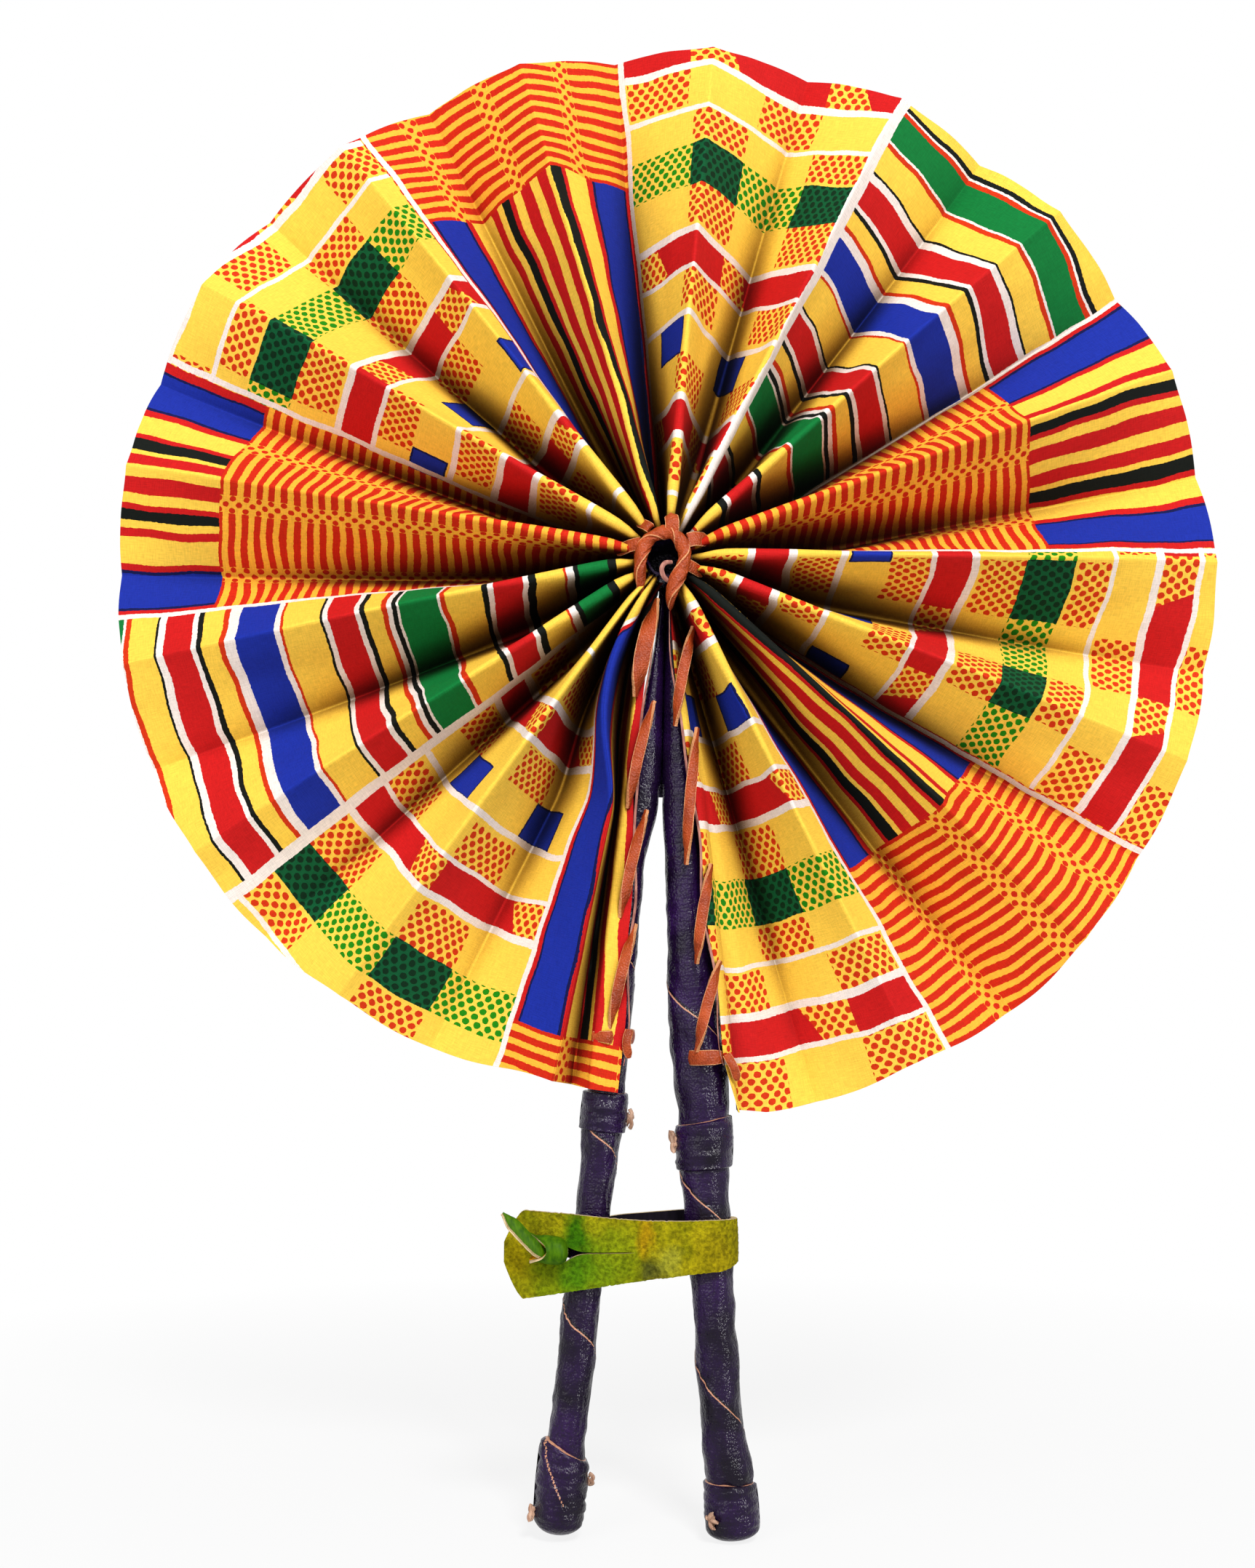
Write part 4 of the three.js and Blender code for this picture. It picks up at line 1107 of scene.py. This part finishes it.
def collar(name, node, stick, start, end, margin, tilt, pucker, seed, closed, flap=None):
    def place(turn, t):
        angle = 2 * math.pi * turn
        slope = tilt * math.cos(angle) + 0.5 * noise.noise(Vector((3 * turn, seed, 0.5)))
        distance = start + slope * (1 - t) + t * (end - start)
        edge = min(1, t / 0.03) if closed else min(1, t / 0.03, (1 - t) / 0.03)
        spot = Vector((1.4 * math.cos(angle), 1.4 * math.sin(angle), distance / 2.4 + seed))
        ring_spot = Vector((0.7 * math.cos(angle), 0.7 * math.sin(angle), distance * 0.9 + seed))
        rings = 0.5 * noise.noise(ring_spot)
        relief = pucker * (noise.noise(spot) + rings) + 0.25 * math.sin(math.pi * t)
        if flap:
            beyond = (turn - flap(t)) % 1
            raised = (1 - smooth(beyond / 0.16)) * (1 - smooth((t - 0.5) / 0.2))
            relief += 0.7 * raised * smooth(beyond / 0.012)
        if closed and t > 0.8:
            # the end is drawn together and rounded off
            fall = (t - 0.8) / 0.2
            relief *= 1 - fall
            margin_here = margin - 6.4 * (1 - math.sqrt(max(0, 1 - (fall * 0.93) ** 2)))
            return stick_surface(stick, distance, turn, margin_here + relief)
        return stick_surface(stick, distance, turn, (margin + relief) * edge - 0.5 * (1 - edge))

    def wrap_uv(turn, t):
        along_flap = abs(turn - flap(t)) * 1.3 if flap and t < 0.62 else 1
        return min(t * 0.5, along_flap), t

    made = tube(name, place, wrap_uv, purple, around=80 if flap else 56, along=44)
    fitted(made, f"{stick.name}_stick", "purple_leather", node)


collar("right_collar", "right_cuff", right_stick, right_stick.cuff_start - 0.4, right_stick.cuff_end + 0.6,
       1.15, -0.9, 0.5, 3.1, False)
collar("left_collar", "left_cuff", left_stick, left_stick.cuff_start - 0.5, left_stick.cuff_end - 0.6,
       1.1, 0.3, 0.45, 8.4, False)
collar("right_foot", "right_end_cap", right_stick, right_stick.cap_top + 0.6, 285.9,
       1.2, 0.6, 0.45, 12.6, True)
collar("left_foot", "left_end_cap", left_stick, left_stick.cap_top, 285.6,
       1.35, -2.6, 0.6, 21.2, True, flap=lambda t: 0.93 - 0.34 * t)
print("four collars")

# %% [markdown]
# ## The thong
# One thong laces each cloth edge with long slanting stitches. Each is a band of nearly one width
# that follows a smooth curve; it is twisted as it comes up through the cloth and as it goes down
# again, so from the front it looks like a narrow leaf.

# %% Bands along a curve


def through(points, t):
    """A smooth curve through the points, t from 0 to 1 (Catmull and Rom's blend)."""
    spans = len(points) - 1
    index = min(int(t * spans), spans - 1)
    u = t * spans - index
    p = [points[max(0, index - 1)], points[index], points[index + 1], points[min(spans, index + 2)]]
    return 0.5 * ((2 * p[1]) + (p[2] - p[0]) * u + (2 * p[0] - 5 * p[1] + 4 * p[2] - p[3]) * u * u
                  + (3 * p[1] - p[0] - 3 * p[2] + p[3]) * u ** 3)


def frame_at(points, t, front):
    """Place, way along, front and way across of a band at t."""
    here = through(points, t)
    run = (through(points, min(1, t + 0.01)) - through(points, max(0, t - 0.01))).normalized()
    front = (front - run * front.dot(run)).normalized()
    return here, run, front, run.cross(front)


def thong(name, points, fronts, width, material=tan, thickness=0.9, curl=0.35, taper=(0.3, 0.3),
          along=40, twist=(0, 0)):
    """A band through points with a front at each; twist gives its turn in degrees at both ends."""
    def place(s, t):
        here, run, front, beside = frame_at(points, t, through(fronts, t))
        turn = math.radians(twist[0] * (1 - smooth(t / 0.5)) + twist[1] * smooth((t - 0.5) / 0.5))
        up = front * math.cos(turn) + beside * math.sin(turn)
        beside = run.cross(up)
        full = width * (taper[0] + (1 - taper[0]) * smooth(t / 0.25))
        full *= taper[1] + (1 - taper[1]) * smooth((1 - t) / 0.25)
        x = s - 0.5
        sag = curl * (0.25 - x * x) * 4
        ripple = 0.16 * noise.noise(here * 0.9)
        return here + beside * x * full + up * (sag + ripple), (up + beside * x * curl * 1.2).normalized()

    return slab(name, place, material, across=8, along=along, thickness=thickness)


def join(name, objects):
    """Several meshes made one object, welded nowhere; their materials are kept."""
    mesh = bmesh.new()
    materials = []
    for part in objects:
        offset = len(materials)
        materials += list(part.data.materials)
        before = len(mesh.faces)
        mesh.from_mesh(part.data)
        mesh.faces.ensure_lookup_table()
        for face in mesh.faces[before:]:
            face.material_index += offset
    made = mesh_object(name, mesh, materials)
    for part in objects:
        bpy.data.objects.remove(part)
    return made


def in_front(stick, distance, offset, lift):
    """A place in front of the cloth's free edge, lift mm before it."""
    return stick.point(distance, offset, -(stick.half(max(distance, 30))[1] + edge_stand + lift))


def stitch(name, stick, start, end, lift, width=3.1):
    """A slanting stitch; start and end are (distance, offset) and lift how far in front it lies."""
    (d0, x0), (d1, x1) = start, end

    def at(share, front):
        bow = 0.5 * math.sin(math.pi * share) * (1 if x1 > x0 else -1)
        return in_front(stick, d0 + share * (d1 - d0), x0 + share * (x1 - x0) + bow, front)

    points = [at(share, lift + higher)
              for share, higher in ((-0.02, -1.6), (0.2, 0.5), (0.5, 0.9), (0.8, 0.5), (1.02, -1.6))]
    lean = 78 if x1 > x0 else -78
    fronts = [to_viewer] * 5
    return thong(name, points, fronts, width, taper=(0.7, 0.6), twist=(lean, -lean), along=48)


left_stitches = [((13.8, 1.6), (42.5, 4.8), 3.2, 4.8), ((44.6, -0.9), (76.0, 3.2), 1.7),
                 ((77.5, -2.5), (108.5, 1.7), 1.1), ((111.5, -3.0), (141.0, 1.0), 0.9)]
right_stitches = [((22.0, 6.2), (50.5, -0.8), 1.7), ((53.0, 5.4), (92.0, -0.3), 1.1),
                  ((94.0, 6.6), (121.5, 0.7), 1.0), ((122.5, 7.0), (147.0, -1.0), 1.0)]
for stick, stitches in ((left_stick, left_stitches), (right_stick, right_stitches)):
    made = [stitch(f"stitch_{i}", stick, *ends) for i, ends in enumerate(stitches)]
    laced = join(f"{stick.name}_stitches", made)
    fitted(laced, f"{stick.name}_stick", "tan_lace", f"lace_{stick.name}_run")
print(len(left_stitches) + len(right_stitches), "long stitches")

# %% [markdown]
# Under the stitches a thin, wavy edge of raw hide shows along the cloth: the purple leather was
# folded over the cloth's edge there and its cut side is pale.

# %% Raw edges beside the cloth
for stick, offset_at in ((left_stick, lambda d: left_edge(d) - 0.7),
                         (right_stick, lambda d: -0.5 + corner_cut(d))):
    places = [in_front(stick, d, offset_at(d) + 0.45 * math.sin(d / 6.1), 0.25 + 0.3 * math.sin(d / 8.7))
              for d in range(16, 153, 4)]
    raw_edge = thong(f"{stick.name}_raw_edge", places, [to_viewer] * len(places), 0.7,
                     material=raw_cut, thickness=0.5, curl=0.2, along=150)
    fitted(raw_edge, f"{stick.name}_stick", "purple_leather")
print("two raw edges")

# %% [markdown]
# Each lacing ends in a loop round the outer side of its stick, with a short frayed tail.

# %% Tied ends


def tied_end(stick, distance, slope, tail, width, turns):
    points, fronts = [], []
    for turn, cover in turns:
        points.append(stick_surface(stick, distance + slope * (turn - 0.5), turn, cover))
        outward = stick_surface(stick, distance, turn, 5) - stick_surface(stick, distance, turn, 0)
        fronts.append(outward.normalized())
    loop = thong("loop", points, fronts, width, taper=(0.8, 0.7))
    (d, x), (d2, x2) = tail
    tail_points = [in_front(stick, d, x, 0.8), in_front(stick, (d + d2) / 2, (x + x2) / 2 + 0.6, 1.6),
                   in_front(stick, d2, x2, 0.2)]
    tail_fronts = [Vector((0.2, -1, 0)), Vector((-0.2, -1, 0.1)), Vector((0.3, -1, 0))]
    end = thong("tail", tail_points, tail_fronts, 2.4, thickness=0.8, taper=(0.9, 0.5), along=14)
    made = join(f"{stick.name}_loop", [loop, end])
    fitted(made, f"{stick.name}_stick", "tan_lace", f"lace_{stick.name}_tie")


tied_end(left_stick, 143.5, 3.0, ((141.5, -4.6), (149.5, -5.4)), 3.8,
         [(0.24, 1), (0.36, 1), (0.48, 1), (0.56, 1), (0.64, 1), (0.72, 1), (0.78, 3.2), (0.86, 3.2)])
tied_end(right_stick, 149.0, 2.0, ((149.0, 7.2), (156.5, 9.8)), 4.2,
         [(0.665, -1.4), (0.69, -0.2), (0.72, 1.2), (0.76, 2.6), (0.81, 3.2), (0.88, 3.2)])
print("two tied ends")

# %% [markdown]
# The collars are sewn with short ends of rawhide, pulled into small gnarled knots: a crumpled lump
# with a few bent, frayed ends.

# %% Rawhide knots


def rawhide_knot(name, stick, distance, turn, size, stretch, headings, seed, *nodes):
    random.seed(seed)
    centre = stick_surface(stick, distance, turn, 1.7)
    outward = (stick_surface(stick, distance, turn, 4) - centre).normalized()
    along = stick.along
    beside = outward.cross(along).normalized()
    mesh = bmesh.new()
    bmesh.ops.create_icosphere(mesh, subdivisions=4, radius=1.0)
    for vertex in mesh.verts:
        spot = vertex.co + Vector((seed, 0, 0))
        crumple = 1 + 0.7 * noise.noise(spot * 1.9) + 0.35 * noise.noise(spot * 4.6)
        x, y, z = (size * c for c in vertex.co)
        flat = Vector((x * stretch, y * 0.75, z * 0.55)) * crumple
        vertex.co = (centre + along * flat.x + beside * flat.y + outward * flat.z) * MM
    parts = [finish_object(mesh, f"{name}_lump", rawhide, 70)]
    for heading in headings:
        way = along * math.cos(heading) * stretch + beside * math.sin(heading)
        reach = size * random.uniform(1.3, 2.1)
        bend = (beside * math.cos(heading) - along * math.sin(heading)) * random.uniform(-0.8, 0.8)
        points = [centre + outward * 0.3, centre + way * reach * 0.5 + outward * random.uniform(0.5, 1.1),
                  centre + way * reach + bend * size * 0.6 + outward * random.uniform(-0.2, 0.6)]
        fronts = [outward, outward + way * 0.5, outward + way * 0.8 - bend]
        width = size * random.uniform(0.6, 1.05)
        last, turned = random.uniform(0.3, 0.8), random.uniform(-50, 50)
        parts.append(thong(f"{name}_end", points, fronts, width, material=rawhide, thickness=0.6,
                           curl=0.6, taper=(1.0, last), along=12, twist=(0, turned)))
    fitted(join(name, parts), f"{stick.name}_stick", "rawhide", *nodes)


rawhide_knot("right_collar_knot", right_stick, 173.8, 0.53, 1.35, 1.5, (0.3, 2.6, 3.6), 3, "right_cuff_knot")
rawhide_knot("left_collar_knot", left_stick, 167.5, 0.50, 1.1, 1.5, (0.2, 1.9, 3.3), 5, "left_cuff_knot")
rawhide_knot("right_foot_knot", right_stick, 279.0, 0.62, 1.35, 1.15, (0.3, 1.6, 2.9, 4.4), 7,
             "right_cap_knot")
rawhide_knot("left_foot_knot", left_stick, 270.5, 0.49, 0.9, 1.2, (0.6, 3.3), 11, "left_cap_knot")
rawhide_knot("left_foot_knot_low", left_stick, 280.5, 0.955, 1.0, 1.6, (0.5, 3.6), 13)
print("five knots")

# %% [markdown]
# Round the hub the thong is twisted into a cord and pulled tight over the inner ends of the
# ridges. Its places are (distance from the hub, ray, depth): up from the left, over the top and
# down again on the right.

# %% Twisted thong at the hub
ring_places = [(15.2, 211, -12.4), (9.8, 236, -14.5), (8.1, 259, -15), (7.3, 284, -15), (6.9, 309, -15),
               (6.6, 332, -15), (6.5, 352, -15), (6.5, 370, -15), (5.8, 394, -15), (5.2, 425, -15),
               (5.3, 462, -15), (6.6, 500, -15.5), (9.4, 526, -15.5), (12.8, 535, -14.5), (16.9, 537, -12)]
ring_points = [polar(*place) for place in ring_places]


def cord_place(turn, t):
    """An oval section that turns as it goes, so the cord swells and narrows like a twisted band."""
    here, run, front, beside = frame_at(ring_points, t, to_viewer)
    angle, spin = 2 * math.pi * turn, 2 * math.pi * 2.4 * t
    end = smooth(min(t, 1 - t) / 0.09) ** 0.5
    groove = 1 - 0.22 * bell(math.cos(angle), 0.86, 0.16) - 0.22 * bell(math.cos(angle), -0.86, 0.16)
    groove += 0.07 * noise.noise(Vector((1.5 * math.cos(angle), 1.5 * math.sin(angle), 30 * t)))
    x, y = 2.55 * math.cos(angle) * groove * end, 1.75 * math.sin(angle) * groove * end
    wide, high = x * math.cos(spin) - y * math.sin(spin), x * math.sin(spin) + y * math.cos(spin)
    return here + beside * wide - front * high


cord = tube("hub_cord", cord_place, lambda turn, t: (2 * turn, t), tan, around=40, along=170)


def short_end(name, places, width, material=tan, taper=(1.0, 0.2)):
    points = [polar(*place) for place in places]
    fronts = [to_viewer] * len(points)
    return thong(name, points, fronts, width, material=material, taper=taper, along=16)


ends = [
    short_end("spike", [(6.6, 12, -16), (9.3, 9, -16.6), (12.0, 5, -15)], 4.0),
    short_end("right_under", [(7.5, 56, -14.4), (10.0, 61, -13.6), (13.0, 67, -11)], 4.2, taper=(1.0, 0.7)),
    short_end("left_under", [(8.5, 292, -14.6), (11.5, 284, -13), (15.0, 278, -9)], 3.6, taper=(1.0, 0.7)),
    short_end("upper_left", [(9.0, 327, -15), (11.0, 324, -14), (13.3, 321, -11)], 3.0, taper=(1.0, 0.6)),
    short_end("lower_right", [(7.0, 118, -14), (9.0, 116, -12.4), (11.5, 114, -9)], 3.4, taper=(1.0, 0.6)),
    short_end("curl", [(2.6, 150, -13), (2.8, 192, -14), (5.0, 200, -14.6), (7.2, 188, -14.4),
                       (8.3, 176, -13)], 1.2, material=raw_cut, taper=(0.8, 0.8))]
fitted(join("hub_thong", [cord] + ends), "right_stick", "tan_lace", "lace_hub_ring")
print("hub thong", round(sum((b - a).length for a, b in zip(ring_points, ring_points[1:]))), "mm long")

# %% [markdown]
# The middle of the gathered cloth is closed from behind by a little cup of purple leather. A flap
# of it runs down between the two blades, so nothing shows through where they lie side by side.
# Cup and flap are partly a guess at the leather that joins the sticks and partly painted shade:
# dark leather put where the hub's hole and the gap between the blades show only deep shade.

# %% Leather cup and flap at the hub
cup_profile = [(0, 8.6), (5.6, 8.6), (6.7, 7.4), (6.8, 0), (6.6, -13), (6.0, -13.2), (5.8, 0),
               (5.4, 6.4), (0, 6.8)]


def cup_place(turn, t):
    spot = t * (len(cup_profile) - 1)
    index = min(int(spot), len(cup_profile) - 2)
    (r0, y0), (r1, y1) = cup_profile[index], cup_profile[index + 1]
    share = spot - index
    radius, angle = r0 + (r1 - r0) * share, 2 * math.pi * turn
    radius *= 1 + 0.03 * math.sin(7 * angle) * (radius > 0.01)
    return hub + Vector((math.sin(angle) * radius, y0 + (y1 - y0) * share, math.cos(angle) * radius))


cup = tube("cup", cup_place, lambda turn, t: (0.5, t), purple, around=48, along=32)
# painted shade: the flap is dark leather laid in the gap between the blades, where there is deep shade
between = [right_stick.point(d, -d * math.tan(gap_half_angle), 4.6 - d * 0.012) for d in (5, 20, 40, 60, 71)]
flap = thong("flap", between, [to_viewer] * 5, 4.4, material=purple, thickness=1.0, curl=0.0,
             taper=(0.9, 0.35))
fitted(join("hub_leather_and_painted_shade", [cup, flap]), "right_stick", "purple_leather")
print("cup and flap made")

# %% [markdown]
# ## The strap
# A strap of brushed suede rounds the right grip. Its front arm widens to the left and has a slit;
# the back arm comes round the left grip, goes through the slit and is rolled into a toggle. The
# round part and the front arm are one strip, made from a flat grid that is slit before it is bent.

# %% Strap sizes
strap_thickness, strap_top, strap_bottom = 1.8, 19.0, 4.4
strap_layer = 7.57
shoulder_x, point_x, point_z = -55.5, -61.3, 10.0
slit_z, slit_start, slit_end, stalk_x = 9.9, -52.8, -22.8, -44.6
strap_at = (hub.z - 11.6) / -right_stick.along.z
grip = right_stick.half(strap_at)[0] + 1.0
bend_x = right_stick.point(strap_at, stick_bow(right_stick, strap_at), 0).x
bend_length = math.pi * (grip + strap_layer) / 2
front_length = bend_x - point_x
back_stub = 1.6


def strap_path(distance):
    """Along the strip from behind the right grip: x, y and the way out."""
    if distance < back_stub:
        return bend_x - back_stub + distance, strap_layer, Vector((0, 1, 0))
    if distance < back_stub + bend_length:
        angle = math.pi * (distance - back_stub) / bend_length
        x, y = math.sin(angle), math.cos(angle)
        return bend_x + grip * x, strap_layer * y, Vector((x, y, 0))
    return bend_x - (distance - back_stub - bend_length), -strap_layer, to_viewer


def strap_edges(x, way):
    """The strip's lower and upper edge; the back is a little higher than the front."""
    share = min(1, max(0, (bend_x - x) / (bend_x - shoulder_x)))
    fuzz = Vector((x * 1.7, 1, 1))
    upper = strap_top - 1.4 * math.sin(math.pi * min(1, share / 0.75)) * 0.5 + 2.9 * share ** 1.5
    upper += 0.22 * noise.noise(fuzz)
    lower = strap_bottom - 7.2 * share ** 1.1 + 0.3 * noise.noise(fuzz + Vector((0, 9, 0)))
    turned = 1 + way.y
    return lower + 1.9 * turned * (2 - turned) + 0.5 * turned, upper - 0.2 * turned


def slit_half(x):
    """Half the slit's opening: it gapes round the stalk and closes to a cut."""
    if not slit_start < x < slit_end:
        return 0.0
    return 2.4 * math.exp(-abs((x - stalk_x) / 3.4) ** 1.7) + 0.17 * smooth((slit_end - x) / 4)


print("strap strip", round(back_stub + bend_length + front_length), "mm long")

# %% [markdown]
# The slit is made on the flat grid: the edges along it are split before the grid gets its second
# side, so its two lips can be moved apart. The cut faces are pale. The inside of the loop is dark,
# partly dark dye and partly painted shade.

# %% Strap with its slit


def slit_strap():
    mesh = bmesh.new()
    bmesh.ops.create_grid(mesh, x_segments=150, y_segments=28, size=0.5)
    full = back_stub + bend_length + front_length

    def x_of(vertex):
        distance = (vertex.co.x + 0.5) * full
        return strap_path(distance)[0] if distance > back_stub + bend_length else 0

    slit_row = [e for e in mesh.edges if all(abs(v.co.y) < 1e-6 for v in e.verts)
                and all(slit_start + 0.3 < x_of(v) < slit_end - 0.3 for v in e.verts)]
    bmesh.ops.split_edges(mesh, edges=slit_row)
    inner = set(mesh.verts)
    made = bmesh.ops.extrude_face_region(mesh, geom=mesh.faces[:], use_keep_orig=True)["geom"]
    outer = {v for v in made if isinstance(v, bmesh.types.BMVert)}
    spots = {}
    for side in (inner, outer):
        for v in side:
            # a point on the slit belongs to the part above it or below it, and its two ends to both
            around = sum(f.calc_center_median().y for f in v.link_faces if all(w in side for w in f.verts))
            spots[v] = ((v.co.x + 0.5), v.co.y + 0.5, 0 if abs(around) < 1e-6 else math.copysign(1, around))
    cut = [f for f in mesh.faces if any(v in inner for v in f.verts) and any(v in outer for v in f.verts)]
    within = [f for f in mesh.faces if all(v in inner for v in f.verts)]
    for v, (share, height, half) in spots.items():
        x, y, way = strap_path(share * full)
        lower, upper = strap_edges(x, way)
        seam = slit_z
        if x < shoulder_x:
            bow = ((shoulder_x - x) / (shoulder_x - point_x)) ** 1.5
            lower, upper = lower + (point_z - 2.6 - lower) * bow, upper + (point_z + 3.0 - upper) * bow
        seam += (0.5 * (lower + upper) - seam) * smooth((x + 20) / 15)
        if height < 0.5:
            z = lower + (seam - lower) * height * 2
        else:
            z = seam + (upper - seam) * (height - 0.5) * 2
        fade = 1 - abs(height - 0.5) * 2
        opening = slit_half(x) if way.y < -0.99 else 0
        z += half * opening * fade ** 1.5
        out = -0.5 * noise.noise(Vector((x / 9, z / 8, 2)))
        if way.y < -0.99:
            out += 0.9 * bell(x, stalk_x, 9) * (1 - fade * 0.4) + 0.7 * opening * fade ** 3
            out -= 1.1 * bell(x + 0.5 * (z - 4), -18.0, 1.5) * smooth((12 - z) / 8)
            out += 0.9 * bell(x + 0.4 * (z - 4), -14.5, 3.0) * smooth((12 - z) / 8)
            out += 0.5 * bell(x, -21, 2) * smooth((z - 8) / 6)
        out += 0.22 * noise.noise(Vector((x, y, z)) * 1.1)
        out += strap_thickness / 2 * (1 if v in outer else -1)
        v.co = (Vector((x, y, z)) + way * out) * MM
    for face in cut:
        face.material_index = 1
    # the inner side gets the dark dye and painted shade
    for face in within:
        face.material_index = 2
    made = finish_object(mesh, "strap", suede, 60)
    made.data.materials.append(pale_cut)
    made.data.materials.append(dark_dye_and_shade)
    return made


strap = slit_strap()
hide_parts("strap_front_arm", "strap_loop")
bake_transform(strap)
print("strap faces:", len(strap.data.polygons))

# %% [markdown]
# The back arm is a second strip of the same suede. It narrows on its way round the left grip, and
# its last part stands in the slit as the toggle's stalk.

# %% Back arm
back_path = [Vector(place) for place in (
    (bend_x - back_stub, 7.6, 13.4), (-12, 7.8, 12.9), (-24, 7.9, 12.0), (-35, 7.2, 11.2),
    (-41.5, 4.6, 10.5), (stalk_x, -0.5, 10.0), (-44.9, -6, 9.9), (stalk_x, -9.4, 9.9))]
back_out = [Vector(way) for way in (
    (0, 1, 0), (0, 1, 0), (0, 1, 0), (-0.3, 1, 0), (-0.8, 0.6, 0), (-1, 0.1, 0), (-1, 0, 0), (-1, -0.1, 0))]


def back_place(s, t):
    here, run, up, beside = frame_at(back_path, t, through(back_out, t))
    width = 14.4 - 9.6 * smooth((t - 0.3) / 0.45)
    return here + Vector((0, 0, 1)) * (s - 0.5) * width + up * 0.3 * noise.noise(here / 7), up


def rim_material(made, material):
    """The narrow faces of a slab, whose UV stays on one edge, get their own material."""
    layer = made.data.uv_layers["wrap"].data
    made.data.materials.append(material)
    for face in made.data.polygons:
        us = [tuple(layer[i].uv) for i in face.loop_indices]
        for axis in (0, 1):
            if max(u[axis] for u in us) < 1e-4 or min(u[axis] for u in us) > 1 - 1e-4:
                face.material_index = len(made.data.materials) - 1


back_arm = slab("strap_back", back_place, suede, across=10, along=44, thickness=strap_thickness)
rim_material(back_arm, pale_cut)
# the back arm's inner side, seen between the grips, gets the same dark dye and painted shade
back_arm.data.materials.append(dark_dye_and_shade)
for face in back_arm.data.polygons:
    if face.material_index == 0 and face.normal.y < -0.5 and face.center.y > 0.003:
        face.material_index = 2
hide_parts("strap_back_arm")
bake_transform(back_arm)
print("back arm made")

# %% [markdown]
# The toggle is the end of the back arm rolled up into a little barrel of green leather. Its right
# end is drawn together; at the left it is open, with a pale cut lip and the yellow inside showing,
# and a narrow tail stands up out of it.

# %% Toggle
toggle_right, toggle_y, toggle_z = -42.7, -13.2, 10.9


def barrel_place(inset):
    def place(s, t):
        """s runs round from the back, t from the drawn-in right end to the open lip."""
        angle = 2 * math.pi * (s * 0.985 + 0.0075) + math.pi
        reach = 9.6 - 3.6 * max(0, math.cos(angle)) ** 2 + 1.4 * abs(math.sin(angle)) ** 3
        x = toggle_right - inset - (reach - inset) * t
        bulb = math.sqrt(max(0.0, 1 - max(0, 1 - t / 0.34) ** 2))
        waist = 1 - 0.1 * smooth((t - 0.5) / 0.3) + 0.14 * smooth((t - 0.8) / 0.2)
        radius = (3.65 - inset) * (0.12 + 0.88 * bulb) * waist
        spot = Vector((2 * math.cos(angle), 2 * math.sin(angle), x / 3))
        radius += 0.15 * noise.noise(spot)
        out = Vector((0, -math.cos(angle), math.sin(angle)))
        tilt = 0.10 * (toggle_right - x)
        return Vector((x, toggle_y, toggle_z + tilt)) + out * radius, out
    return place


barrel = slab("toggle_barrel", barrel_place(0.0), toggle_green, across=48, along=24, thickness=0.8)
rim_material(barrel, pale_cut)
lining = slab("toggle_lining", barrel_place(0.62), suede_inside, across=48, along=18, thickness=0.35)
tail_points = [Vector((-49.5, -15.0, 10.6)), Vector((-51.6, -16.4, 12.4)), Vector((-54.4, -16.8, 15.2)),
               Vector((-57.8, -16.6, 18.7)), Vector((-61.2, -16.0, 22.0))]
tail_front = [Vector((0.35, -1, 0.5))] * 5
tail = thong("toggle_tail", tail_points, tail_front, 3.3, material=toggle_green, thickness=0.8,
             taper=(0.8, 0.1), along=30)
rim_material(tail, pale_cut)
under_points = [point + Vector((-0.45, 0.5, -0.45)) for point in tail_points]
under_tail = thong("tail_under", under_points, tail_front, 3.5, material=pale_cut, thickness=0.5,
                   taper=(0.8, 0.12), along=30)
stuffing_points = [Vector((-43.6, -13, 10.9)), Vector((-46, -13, 11.2)), Vector((-48.6, -13, 11.6))]
stuffing = thong("toggle_core", stuffing_points, [to_viewer] * 3, 4.6, material=suede_inside,
                 thickness=2.6, curl=0.6, taper=(0.8, 0.9), along=12)
fitted(join("toggle", [barrel, lining, tail, under_tail, stuffing]), "strap_back", "suede", "strap_toggle")
print("toggle made")

# %% [markdown]
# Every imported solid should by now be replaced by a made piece. If one still shows, it gets a plain
# wood finish rather than none.

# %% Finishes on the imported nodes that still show
for name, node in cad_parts.items():
    if not node.hide_render:
        node.data.materials.clear()
        node.data.materials.append(wood)
        print(name, "keeps its solid, in wood")
